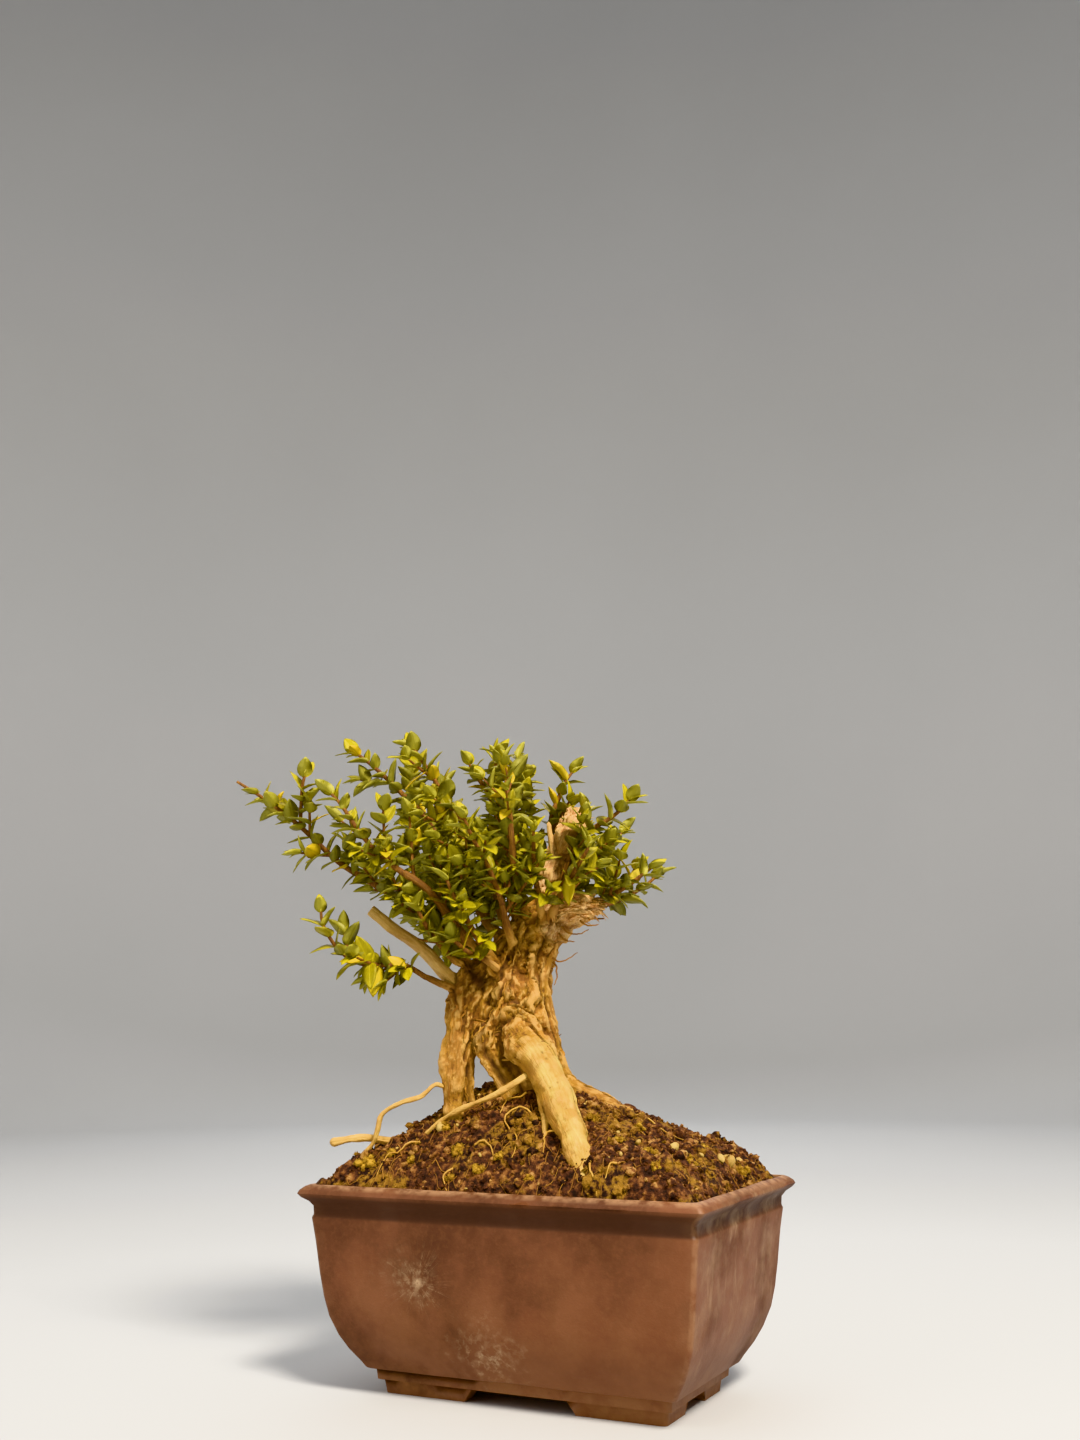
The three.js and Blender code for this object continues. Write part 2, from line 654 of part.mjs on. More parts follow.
for (const stem of [...Object.values(wood), ...boughs]) claim(stem, "trunk");
for (const solid of trunkTubes(0)) occupy(solid, "trunk");
const fatTrunk = trunkTubes(GAP).map((solid) => ({ solid, bounds: boundsOf(solid) }));

// Leafy shoots and sprays.

/** A leafy shoot that goes on from a bough's end, with its forks and side twigs. */
function longShoot(index) {
  const { leafy, isCut } = BOUGHS[index];
  const bough = boughs[index];
  const ahead = tangentAt(bough.points, bough.points.length - 1);
  const start = bough.points.at(-1).clone().addScaledVector(ahead, 0.35);
  const radius = bough.radii.at(-1) * 0.92;
  const rows = [BOUGHS[index].wood.at(-1), ...leafy].map(([x, y, z], i) => {
    return [x, y, z, radius - (radius - 0.6) * (i / leafy.length)];
  });
  const main = stemThrough(rows, 1);
  main.points[0] = start;
  if (!isCut) shorten(main, 6);
  measured(main);
  const owner = `long_shoot_${index}`;
  const stems = [{ stem: main, bare: 5, seed: index * 1.7 + 0.4, isCut }];
  for (const fork of FORKS.filter((f) => f.bough === index)) {
    const stem = stemThrough(fork.points.map((p, i) => [...p, 0.9 - 0.12 * i]), 1);
    shorten(stem, 6);
    stems.push({ stem: measured(stem), bare: 5, seed: index * 1.3 + 9 });
  }
  stems.forEach(({ stem }) => claim(stem, owner));
  const count = Math.floor((main.length - 12) / 11);
  for (let k = 0; k < count; k++) {
    const key = index * 7.7 + k * 3.3;
    const reach = 15 - (5 * k) / count + 4 * (draw(key) - 0.5);
    const twig = clearTwig(main, 8 + 11 * k, k * GOLDEN_TURN + index, reach, 0.75, owner);
    if (!twig) continue;
    claim(twig, owner);
    stems.push({ stem: twig, bare: 4.5, seed: key, isSide: true });
  }
  return { name: owner, stems, extra: LARGE_LEAVES.filter((leaf) => leaf.bough === index) };
}

/** Short sprays along the woody boughs, which fill the crown's inside. */
function innerSprays() {
  const sprays = [];
  boughs.forEach((bough, index) => {
    const count = Math.round((bough.length - 14) / 15);
    for (let k = 0; k < count; k++) {
      const key = index * 5.9 + k * 2.7;
      const distance = bough.length - 5 - k * 13;
      if (distance < 10) continue;
      const owner = `inner_spray_${sprays.length}`;
      const reach = 20 + 6 * (draw(key) - 0.5);
      const twig = clearTwig(bough, distance, key * 2.4, reach, 0.85, owner);
      if (!twig) continue;
      claim(twig, owner);
      sprays.push({ name: owner, stems: [{ stem: twig, bare: 5.5, seed: key }], extra: [], isShort: true });
    }
  });
  return sprays;
}

/** The chosen leaves of a stem: every second pair, or its neighbour where that one would cross. */
function addLeaves(member, owner, solids) {
  const { seed, isSide } = member;
  const leaves = leavesOf(member);
  for (const leaf of leaves) {
    if (leaf.pair === "tip" ? isSide && leaf.side : leaf.pair % 2 || (isSide && leaf.pair)) continue;
    const next = leaves.find((other) => other.pair === leaf.pair + 1 && other.side === leaf.side);
    const mates = `${seed} ${leaf.pair}`;
    const chosen = [leaf, next].find((option) => option && !isRefused(option, owner, mates));
    if (!chosen) continue;
    const solid = blade(chosen);
    occupy(solid, owner, { isLeaf: true, mates });
    solids.push(solid);
  }
}

function stemSolid(stem, sides) {
  const bounds = boundsOf(tube(stem, sides, GAP));
  const cutters = fatTrunk.filter((part) => part.bounds.intersectsBox(bounds)).map((part) => part.solid);
  const whole = tube(stem, sides);
  return cutters.length ? largest(whole.subtract(joined(cutters))) : whole;
}

function buildSprays(list) {
  const built = list.map((spray) => {
    const solids = spray.stems.map(({ stem }, i) => stemSolid(stem, i || spray.isShort ? 3 : 4));
    solids.forEach((solid) => occupy(solid, spray.name));
    return { ...spray, solids };
  });
  for (const spray of built) {
    for (const large of spray.extra) {
      const foot = planted(large.foot);
      const reach = planted(large.tip).sub(foot);
      const leaf = { ...laidLeaf(foot, reach.clone().normalize(), UP, 0.5), length: reach.length() + 0.5 };
      occupy(blade(leaf), spray.name);
      spray.solids.push(blade(leaf));
    }
    for (const member of spray.stems) addLeaves(member, spray.name, spray.solids);
  }
  return built.map((spray) => [spray.name, largest(joined(spray.solids))]);
}

// The whole.

/** A named mesh with its own material, moved so that the whole stands on its middle. */
function meshOf(name, solid, color, roughness, shift) {
  const { numProp, vertProperties, triVerts } = solid.getMesh();
  const positions = new Float32Array((vertProperties.length / numProp) * 3);
  for (let i = 0; i < positions.length / 3; i++) {
    positions.set(vertProperties.subarray(i * numProp, i * numProp + 3), i * 3);
  }
  const geometry = new THREE.BufferGeometry();
  geometry.setAttribute("position", new THREE.BufferAttribute(positions, 3));
  geometry.setIndex(new THREE.BufferAttribute(new Uint32Array(triVerts), 1));
  geometry.computeVertexNormals();
  const mesh = new THREE.Mesh(geometry, new THREE.MeshStandardMaterial({ color, roughness }));
  mesh.name = name;
  mesh.position.copy(shift);
  return mesh;
}

const shoots = BOUGHS.map((_, index) => index)
  .filter((index) => BOUGHS[index].leafy.length)
  .map(longShoot);
const parts = [
  ["pot", buildPot(), 0x734630, 0.8],
  ["drain_mesh_left", buildDrainMesh(-DRAIN_X), 0x2c2c2a, 0.6],
  ["drain_mesh_right", buildDrainMesh(DRAIN_X), 0x2c2c2a, 0.6],
  ["soil", buildSoil(), 0x3b2a1d, 1],
  ["trunk", largest(joined(trunkTubes(0))), 0xa98a5b, 0.85],
];
for (const [name, solid] of buildSprays([...shoots, ...innerSprays()])) {
  parts.push([name, solid, 0x7f8f2b, 0.5]);
}

const whole = new THREE.Box3();
for (const [, solid] of parts) whole.union(boundsOf(solid));
const middle = whole.getCenter(new THREE.Vector3());
const shift = new THREE.Vector3(-middle.x, -middle.y, 0);

const bonsai = new THREE.Group();
bonsai.name = "bonsai";
for (const [name, solid, color, roughness] of parts) {
  bonsai.add(meshOf(name, solid, color, roughness, shift));
}

export default bonsai;
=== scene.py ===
"""A honeysuckle bonsai in its training pot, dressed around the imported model.

Tables and sizes are in millimetres. Unless a line says otherwise they are in
the pot's own frame: the pot's axis at the origin, its long side along X, its
front towards -Y and the table at Z 0. The plant's routes are given in a frame
turned about Z, with X to the right of the best viewing side and Y away from
the viewer. Meshes are made in metres, in the model's frame.
"""

import logging
import math
from collections.abc import Callable, Iterable, Sequence
from dataclasses import astuple, dataclass, field
from enum import Enum
from typing import Any

import bpy
import numpy as np
from mathutils import Matrix, Vector, noise
from mathutils.bvhtree import BVHTree


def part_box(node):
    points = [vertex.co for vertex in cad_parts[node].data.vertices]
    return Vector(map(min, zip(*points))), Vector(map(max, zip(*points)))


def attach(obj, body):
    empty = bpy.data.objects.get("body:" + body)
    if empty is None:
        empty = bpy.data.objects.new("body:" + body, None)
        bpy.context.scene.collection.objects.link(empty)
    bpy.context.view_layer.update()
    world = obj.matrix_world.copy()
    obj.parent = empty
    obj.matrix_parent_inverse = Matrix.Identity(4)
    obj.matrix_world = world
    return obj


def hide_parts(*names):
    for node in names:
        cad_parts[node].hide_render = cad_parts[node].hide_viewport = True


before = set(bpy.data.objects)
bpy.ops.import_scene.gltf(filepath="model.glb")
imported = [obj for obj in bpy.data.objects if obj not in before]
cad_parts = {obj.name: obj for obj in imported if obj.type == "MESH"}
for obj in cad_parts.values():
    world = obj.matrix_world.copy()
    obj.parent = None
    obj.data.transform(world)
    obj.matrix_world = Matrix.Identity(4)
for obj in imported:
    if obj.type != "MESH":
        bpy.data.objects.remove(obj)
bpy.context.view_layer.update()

Array = np.ndarray
Rng = np.random.Generator
Object = bpy.types.Object
Material = bpy.types.Material
Face = tuple[int, ...]
Place = tuple[float, float, float]
Route = tuple[Place, ...]
LOG = logging.getLogger("bonsai")
BODY = "root"
MM = 0.001
POT_LOW, POT_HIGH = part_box("pot")
POT_AXIS = np.array([(POT_LOW.x + POT_HIGH.x) / 2, (POT_LOW.y + POT_HIGH.y) / 2, POT_LOW.z])
UP = np.array([0.0, 0.0, 1.0])

# The plant, the same routes that the model's solids follow.

PLANT_TURN = math.radians(26.7)
GAP = 0.3
LEAF_PITCH = 4.4
LEAF_LENGTH = 10.5
LEAF_WIDTH = 0.58
PAIR_TURN = math.radians(75)
GOLDEN_TURN = math.radians(137.5)
BOUGH_SHARE = 0.86
TWIG_PITCH = 11
FINE_TWIG_PITCH = 5.0
SPRAY_PITCH = 13
FORK_TRIM = 6
# The low bough on the left, whose wood shows and bears no finer twigs.
CLEAN_BOUGH = 10

# Woody members: x, y, z and radius at each point, in the plant's frame.
WOOD: dict[str, list[tuple[float, ...]]] = {
    "column": [(-9, 4, 86, 7), (-8, 4, 97, 9), (-7, 4, 108, 11.5), (-9, 3, 119, 13.2), (-12, 3, 136, 13),
        (-11, 3, 149, 12), (-6, 2, 160, 10.5), (0, 2, 168, 8.5)],
    "torn_knob": [(-3, 0, 162, 8), (5, -1, 168, 7), (12, -2, 170.5, 5.4), (18, -3, 170, 3)],
    "dead_top": [(-1, 2, 166, 6), (1, 4, 178, 5), (4, 3.5, 190, 4.6), (8, 3, 199, 4.3), (11, 2, 206, 2.8)],
    "left_leg": [(-19, 1, 151, 7), (-27, 0, 146, 6.5), (-31, -2, 140, 6), (-33, -3, 133, 5.6),
        (-34, -4, 120, 5.2), (-35.3, -5, 109, 4.7), (-35.3, -5, 100, 3.6), (-35, -6, 92, 3.1),
        (-34.5, -6, 83, 2.8)],
    "left_web": [(-22, 0, 143, 7), (-25, -1, 132, 5.5), (-27, -2, 121, 4)],
    "big_leg": [(-15, -1, 134, 5.5), (-13, -5, 129, 7), (-10, -11, 121, 6.8), (-4, -16, 114, 6.3),
        (1, -22, 105, 6), (4.8, -30, 96, 5.3), (7.6, -37, 89, 4.8), (9.9, -43, 82.5, 4.3),
        (12, -48, 77, 3.8), (13, -51, 72, 3.2)],
    "middle_leg": [(-19, -2, 136, 6), (-22, -4, 125, 5), (-22, -5, 116, 4), (-18, -6, 109, 3.8),
        (-14, -7, 103, 3.6), (-12, -7, 96, 3.4), (-11, -7, 87, 3)],
    "slanted_root": [(-5, -17, 111, 1.5), (-15, -17, 105.3, 1.15), (-20, -15.6, 102.4, 1.3),
        (-27, -13, 99.6, 1), (-34, -9.6, 96.6, 1.1), (-40, -7, 93, 0.9), (-47, -5, 87, 0.9)],
    "arched_root": [(-33, -5, 107, 1.2), (-37, -6, 105, 1), (-42, -8, 106, 0.9), (-47, -9, 102, 0.9),
        (-54, -9, 100, 0.9), (-61, -8, 96, 0.9), (-63, -7, 90, 0.9), (-65, -6, 85, 0.85),
        (-70, -4, 80, 0.8), (-73, -3, 74, 0.8)],
    "stick_root": [(-34, -5, 90, 2), (-45, -3, 84, 1.6), (-57, 0, 85.5, 1.4), (-66, -2, 87, 1.3),
        (-73, -4, 87, 1.4), (-79, -5, 86, 1.7)],
    "right_root": [(0, 4, 110, 3.4), (8, 1, 105, 2.6), (18, -4, 100.5, 2.3), (28, -9, 95.5, 1.9),
        (35, -12, 92, 1.6), (42, -14, 86, 1.2)],
    "pale_root": [(-3, -19, 110, 2.2), (-3, -23, 102, 1.8), (-2, -26.5, 95, 1.4), (-2, -29, 88, 1)],
    "cut_stub": [(-30, -2, 137, 3.6), (-35, -3, 142, 2.8), (-47, -5, 155, 2.5), (-57, -6, 162, 2.3),
        (-67, -7, 170, 2.2)],
    "right_band": [(2, -1, 157, 2.6), (-1, -2, 150, 2.8), (-3, -3.5, 143, 3), (-2, -2.5, 134, 3.2),
        (0.2, -1.5, 126, 3.4), (0.8, 0, 118, 3.4), (3.3, -0.5, 111, 3.2), (8, 1, 105.5, 2.6)],
}
# Sinews that swell on the old wood, in the plant's frame.
SINEWS: dict[str, list[tuple[float, ...]]] = {
    "inner_curve": [(-4, -5, 161, 2), (-6.8, -6.6, 151, 2.2), (-7.6, -7, 143, 2.2), (-6, -7.2, 137, 2.4),
        (-9, -8, 132, 2.6), (-13, -10, 127, 2.6)],
    "middle_band": [(-9, -6.5, 163, 2), (-12.5, -7, 153, 2.2), (-15, -7.4, 144, 2.3),
        (-16.5, -7.8, 136, 2.4), (-19, -7, 128, 2.4)],
    "left_band": [(-12, -7, 164, 1.8), (-17, -4, 156, 2.4), (-22, -4.6, 147, 2.4), (-26, -5, 139, 2.4),
        (-29, -6, 133, 2.2), (-31, -7, 122, 1.8)],
    "shin_fold": [(-13, -8, 133, 2), (-10, -10.2, 129.5, 2.4), (-6, -11.2, 126, 2.6), (-1, -14, 119, 2.4),
        (3, -19, 110, 2)],
    "right_flare": [(6, -1, 105, 4), (13, -4.5, 101, 3.6), (19, -8, 98.5, 3), (26, -10.5, 96, 2.4),
        (33, -14.5, 93.4, 1.8)],
    "broken_stub": [(-20.5, -6, 145.5, 2.3), (-22, -8.8, 150.5, 2.1), (-23, -10.4, 154.4, 1.7)],
    "inner_shin": [(-18, -2.5, 127, 4), (-17.5, -3, 120, 4.4), (-14.5, -4, 114, 4.4), (-10, -4.5, 109, 4.2),
        (-7, -6, 102, 3.6)],
    "knob_shelf": [(-2, -5, 166.5, 3), (4, -6, 170, 3.2), (10, -5.5, 171.6, 3.2), (16, -4.5, 171, 2.6),
        (19.5, -4, 169.5, 1.3)],
    "dead_cap": [(5, 1, 192, 3.8), (8, -1, 198, 4.7), (10.5, -1.5, 203, 4.8), (12, -1.5, 206, 3.2)],
    "dead_stick": [(2, -1, 191, 1.3), (1.3, -1.6, 197, 1.1), (0.7, -1.6, 203, 0.8)],
    "left_rear": [(-30, -2, 124, 3.4), (-30.5, -1.5, 114, 3.2), (-30.5, -1.5, 104, 2.7), (-30, -2, 95, 2.8),
        (-29.5, -2, 85, 3)],
    "leg_cleft": [(2, -20, 110, 2.4), (7, -26, 101, 2.6), (10, -33, 92, 2.4), (12, -39, 84, 2),
        (13, -43, 76, 1.6)],
    "back_band": [(-5, 12, 162, 3), (-12, 14, 150, 3.4), (-18, 13, 138, 3.4), (-19, 12, 124, 3.2),
        (-14, 13, 108, 3), (-10, 12, 94, 3)],
    "back_fork": [(-2, 12, 152, 2.6), (-3, 14, 140, 3), (0, 13, 126, 3), (4, 12, 112, 2.8),
        (9, 12, 98, 2.4)],
}


@dataclass(frozen=True)
class Bough:
    """A branch in the plant's frame: its woody part with radii, and the leafy route that goes on from it."""

    wood: tuple[tuple[float, float, float, float], ...]
    leafy: Route = ()
    is_cut: bool = False


BOUGHS = (
    Bough(((-22, -1, 146, 4), (-30, -3, 150, 3), (-36, -4, 154, 2.6), (-46, -6, 166, 2.3),
        (-56, -8, 174, 2)), ((-68, -10, 181), (-79, -12, 188), (-93, -14, 201), (-106, -15, 211),
        (-117, -16, 218)), is_cut=True),
    Bough(((-24, -6, 152, 3.4), (-32, -14, 160, 2.6), (-43, -20, 175, 2.1), (-53, -24, 182, 1.8)),
        ((-61, -26, 188), (-69, -28, 197), (-75, -30, 206), (-83, -30, 215))),
    Bough(((-16, 3, 158, 3.6), (-24, 5, 167, 2.8), (-36, 10, 187, 2.2), (-48, 10, 208, 1.8)),
        ((-56, 10, 216), (-64, 10, 224), (-72, 10, 231), (-81, 10, 237))),
    Bough(((-12, -2, 158, 3.6), (-17, -5, 167, 2.8), (-22, -12, 186, 2.1), (-32, -16, 202, 1.7)),
        ((-39, -17, 212), (-43, -18, 219), (-49, -18, 228), (-55, -18, 235))),
    Bough(((-8, 4, 160, 3.4), (-13, 6, 170, 2.6), (-17, 12, 191, 2), (-20, 14, 210, 1.6)), ((-24, 14, 219),
        (-29, 14, 226), (-33, 14, 235))),
    Bough(((-6, -3, 160, 3.2), (-9, -7, 170, 2.4), (-12, -18, 181, 2.1), (-13, -24, 193, 1.9),
        (-14, -26, 204, 1.7), (-15, -26, 216, 1.4))),
    Bough(((0, 5, 165, 3.2), (1, 9, 175, 2.5), (2, 12, 194, 2)), ((2, 12, 207), (5, 12, 215), (8, 12, 222),
        (14, 12, 230))),
    Bough(((1, -1, 166, 3), (4, -2, 175, 2.4), (8, -5, 188, 1.9)), ((15, -8, 198), (25, -10, 204),
        (36, -12, 214))),
    Bough(((3, 4, 166, 2.8), (7, 6, 174, 2.2), (13, 8, 183, 1.7)), ((20, 8, 189), (25, 6, 194),
        (27, 4, 202))),
    Bough(((3, 2, 166, 3), (9, 1, 170.5, 2.4), (16, 0, 172, 1.8)), ((22, -2, 174), (30, -4, 178),
        (37, -6, 183), (44, -8, 188))),
    Bough(((-31, -3, 139, 3.2), (-37, -6, 141, 2.2), (-46, -10, 145, 1.6)), ((-53, -14, 149),
        (-61, -16, 149), (-70, -18, 150), (-77, -20, 155), (-82, -22, 163), (-84, -24, 174))),
    Bough(((-14, 6, 156, 3.4), (-20, 10, 163, 2.6), (-31, 20, 178, 2), (-42, 29, 194, 1.7)),
        ((-50, 33, 204), (-58, 36, 215))),
    Bough(((-8, 8, 158, 3.2), (-9, 12, 167, 2.5), (-12, 24, 184, 1.9)), ((-14, 32, 198), (-13, 38, 212),
        (-10, 42, 223))),
    Bough(((0, 7, 164, 3), (4, 11, 172, 2.3), (13, 20, 182, 1.7)), ((20, 28, 191), (27, 34, 200),
        (35, 39, 208))),
    Bough(((-20, 6, 148, 3.6), (-28, 10, 154, 2.6), (-40, 18, 163, 1.9)), ((-53, 26, 173), (-64, 32, 183),
        (-73, 36, 193))),
    Bough(((2, 7, 163, 3), (9, 11, 168, 2.2), (18, 16.5, 171.5, 1.6)), ((30, 24, 176), (40, 29, 182),
        (49, 33, 190))),
    Bough(((-12, -6, 154, 3), (-15, -14, 162, 2.3), (-17, -22, 171, 1.7)), ((-21, -30, 182),
        (-27, -37, 193), (-32, -42, 205))),
    Bough(((0, -5, 163, 2.8), (3, -12, 171, 2.1), (7, -19, 176, 1.6)), ((10, -25, 182), (14, -30, 188),
        (17, -33, 195))),
    Bough(((-20, -6, 150, 3), (-24, -13, 156, 2.2), (-27, -18, 160, 1.7)), ((-31, -24, 167),
        (-35, -28, 175), (-39, -31, 184))),
    Bough(((-28, -4, 147, 2.8), (-34, -10, 150, 2.1), (-38, -14, 154, 1.6)), ((-43, -18, 160),
        (-47, -21, 167), (-50, -23, 175))),
    Bough(((-18, -7, 147, 2.6), (-21, -14, 149, 2), (-24, -18, 151, 1.6)), ((-29, -23, 153),
        (-34, -27, 157), (-38, -30, 162))),
    Bough(((-2, -6, 164, 2.6), (-3, -12, 171, 2), (-4, -17, 177, 1.6)), ((-5, -23, 185), (-5, -28, 193),
        (-5, -31, 202))),
)
# Forks of the leafy shoots besides their ruled side twigs, by bough number.
FORKS: tuple[tuple[int, Route], ...] = (
    (0, ((-93, -14, 201), (-92, -18, 214), (-90, -20, 225))),
    (4, ((-21.5, 14, 213), (-21, 6, 222), (-19, 2, 230), (-16, 0, 236))),
)
# The few leaves that stand out in size: bough number, foot and tip.
LARGE_LEAVES: tuple[tuple[int, Place, Place], ...] = (
    (10, (-64, -17, 149), (-63, -21, 139)),
    (6, (8, 12, 222), (3, 10, 231)),
    (17, (9, -23, 180), (6, -26, 171)),
)

# Places that stay free of leaves, in the plant's frame seen from the front: a line from x, z to x, z, its
# width to either side, and how far back it reaches.
CLEARINGS = ((-69.0, 173.0, -43.0, 152.0, 5.0, 1.0), (13.0, 162.5, 27.0, 164.0, 7.0, 30.0))


def draw(n: float) -> float:
    """A number from 0 to 1 that is always the same for the same input."""
    wave = math.sin(n * 12.9898) * 43758.5453
    return wave - math.floor(wave)


def planted(point: Sequence[float]) -> Array:
    """A point of the plant's turned frame, in the pot's frame."""
    cos, sin = math.cos(PLANT_TURN), math.sin(PLANT_TURN)
    return np.array([point[0] * cos - point[1] * sin, point[0] * sin + point[1] * cos, point[2]], float)


def unit(vector: Array) -> Array:
    """The same direction with length 1."""
    return vector / max(float(np.linalg.norm(vector)), 1e-9)


def across(direction: Array) -> tuple[Array, Array]:
    """Two directions square to each other and to a given one."""
    level = UP if abs(direction[2]) < 0.98 else np.array([0.0, 1.0, 0.0])
    u = unit(np.cross(level, direction))
    return u, np.cross(direction, u)


def smoothstep(value: Array | float, low: float, high: float) -> Array:
    """0 below low, 1 above high, and a soft rise between them."""
    share = np.clip((np.asarray(value, float) - low) / (high - low), 0, 1)
    return share * share * (3 - 2 * share)


def ripple(points: Array, octaves: int = 4, rough: float = 0.9) -> Array:
    """Smooth noise from about -1 to 1.

    Args:
        points: where to read it, in units of its pitch.
        octaves: how many finer layers it has.
        rough: how quickly the finer layers fade.

    Returns:
        One value a point.
    """
    return np.array([noise.fractal(Vector(p), rough, 2.0, octaves) for p in points.tolist()])


def drift(points: Array, pitch: float, shifts: Sequence[float] = (0, 9, 21)) -> Array:
    """Smooth noise as a vector at each point, each part read at its own shift."""
    return np.column_stack([ripple(points / pitch + shift, 2) for shift in shifts])


# Stems.


@dataclass
class Spot:
    """A place on a stem: where it is, which way the stem goes there and how thick it is."""

    point: Array
    tangent: Array
    radius: float
    distance: float

    def side(self, turn: float) -> Array:
        """The direction square to the stem at a turn about it."""
        u, v = across(self.tangent)
        return u * math.cos(turn) + v * math.sin(turn)


@dataclass
class Stem:
    """A line of points with a radius at each."""

    points: Array
    radii: Array

    @classmethod
    def through(cls, rows: Sequence[Sequence[float]], steps: int = 1) -> "Stem":
        """A stem through listed rows of x, y, z and radius, given in the plant's frame."""
        points = np.array([planted(row) for row in rows])
        stem = cls(points, np.array([row[3] for row in rows], float))
        return stem if steps == 1 else stem.smoothed(steps)

    @property
    def distances(self) -> Array:
        """How far each point lies from the foot."""
        spans = np.linalg.norm(np.diff(self.points, axis=0), axis=1)
        return np.concatenate([[0.0], np.cumsum(spans)])

    @property
    def length(self) -> float:
        """The whole length."""
        return float(self.distances[-1])

    def end_tangent(self) -> Array:
        """The direction at the tip."""
        return unit(self.points[-1] - self.points[-2])

    def shorten(self, length: float) -> None:
        """Takes a length off the tip."""
        self.points[-1] += unit(self.points[-2] - self.points[-1]) * length

    def spot(self, distance: float) -> Spot:
        """The place at a distance from the foot."""
        along = self.distances
        j = min(int(np.searchsorted(along[1:], distance)) + 1, len(along) - 1)
        span = along[j] - along[j - 1]
        share = (distance - along[j - 1]) / span
        tangent = (self.points[j] - self.points[j - 1]) / span
        point = self.points[j - 1] + tangent * (share * span)
        radius = self.radii[j - 1] * (1 - share) + self.radii[j] * share
        return Spot(point, tangent, float(radius), distance)

    def sampled(self, pitch: float = 1.5) -> list[Array]:
        """Points, radii and distances from the foot, at an even pitch from foot to tip."""
        count = max(math.ceil(self.length / pitch), 1)
        spots = [self.spot(self.length * i / count) for i in range(count + 1)]
        return [np.array(values) for values in zip(*((s.point, s.radius, s.distance) for s in spots))]

    def smoothed(self, steps: int) -> "Stem":
        """The same stem as a soft curve, with steps points for each listed one."""
        last = len(self.points) - 1
        points, radii = [], []
        for i in range(last):
            a, b, c, d = (self.points[min(max(k, 0), last)] for k in (i - 1, i, i + 1, i + 2))
            for k in range(steps):
                t = k / steps
                bend = 2 * a - 5 * b + 4 * c - d
                points.append(0.5 * (2 * b + (c - a) * t + bend * t * t + (3 * b - a - 3 * c + d) * t**3))
                radii.append(self.radii[i] * (1 - t) + self.radii[i + 1] * t)
        points.append(self.points[-1])
        radii.append(self.radii[-1])
        return Stem(np.array(points), np.array(radii))

    def frames(self) -> tuple[Array, Array, Array]:
        """The tangent and two cross directions at each point, which turn with the stem without twisting."""
        ends = np.clip(np.arange(len(self.points)) + 1, 0, len(self.points) - 1)
        starts = np.clip(np.arange(len(self.points)) - 1, 0, None)
        tangents = np.array([unit(v) for v in self.points[ends] - self.points[starts]])
        u = across(tangents[0])[0]
        sides = []
        for tangent in tangents:
            u = unit(u - tangent * float(u @ tangent))
            sides.append(u)
        us = np.array(sides)
        return tangents, us, np.cross(tangents, us)


# Meshes.


@dataclass
class Draft:
    """The points, faces and surface marks of one mesh while it is gathered."""

    mark_names: tuple[str, ...] = ()
    points: list[Array] = field(default_factory=list)
    faces: list[Face] = field(default_factory=list)
    slots: list[int] = field(default_factory=list)
    maps: list[Array] = field(default_factory=list)
    marks: dict[str, list[Array]] = field(default_factory=dict)
    count: int = 0

    def add(
        self,
        points: Array,
        faces: Iterable[Sequence[int]],
        slots: int | Sequence[int] = 0,
        flat: Array | None = None,
        **marks: float | Array,
    ) -> None:
        """Adds a shell.

        Args:
            points: its points, in the pot's frame.
            faces: its faces as numbers of those points.
            slots: its material slot, or one for each face.
            flat: a place on the material's map for each point.
            **marks: a value, or one for each point, of each named mark.
        """
        shifted = [tuple(self.count + i for i in face) for face in faces]
        self.faces += shifted
        self.slots += [slots] * len(shifted) if isinstance(slots, int) else list(slots)
        self.points.append(np.asarray(points, float))
        self.maps.append(np.zeros((len(points), 2)) if flat is None else flat)
        for name in self.mark_names:
            values = np.broadcast_to(np.asarray(marks.get(name, 0.0), float), (len(points),))
            self.marks.setdefault(name, []).append(values)
        self.count += len(points)

    def build(self, name: str, materials: Sequence[Material] = (), sharp: float = 180.0) -> Object:
        """The gathered shells as one object.

        Args:
            name: the object's name.
            materials: its materials, by slot.
            sharp: edges that turn more than this many degrees stay sharp.

        Returns:
            The new object, in metres, in the model's frame.
        """
        mesh = bpy.data.meshes.new(name)
        mesh.from_pydata((np.concatenate(self.points) * MM + POT_AXIS).tolist(), [], self.faces)
        mesh.polygons.foreach_set("use_smooth", [True] * len(self.faces))
        if sharp < 180.0:
            mesh.set_sharp_from_angle(angle=math.radians(sharp))
        for material in materials:
            mesh.materials.append(material)
        if materials:
            mesh.polygons.foreach_set("material_index", self.slots)
        for mark, values in self.marks.items():
            mark_points(mesh, mark, np.concatenate(values))
        if any(len(flat) and flat.any() for flat in self.maps):
            corner_points = np.zeros(len(mesh.loops), np.int32)
            mesh.loops.foreach_get("vertex_index", corner_points)
            flat = np.concatenate(self.maps)[corner_points]
            mesh.uv_layers.new(name="blade").data.foreach_set("uv", flat.ravel().astype(np.float32))
        mesh.update()
        piece = bpy.data.objects.new(name, mesh)
        bpy.context.scene.collection.objects.link(piece)
        return piece


def mark_points(mesh: bpy.types.Mesh, name: str, values: Array) -> None:
    """Keeps a value or a vector for each point of a mesh under a name."""
    kind, key = ("FLOAT", "value") if values.ndim == 1 else ("FLOAT_VECTOR", "vector")
    mesh.attributes.new(name, kind, "POINT").data.foreach_set(key, values.astype(np.float32).ravel())


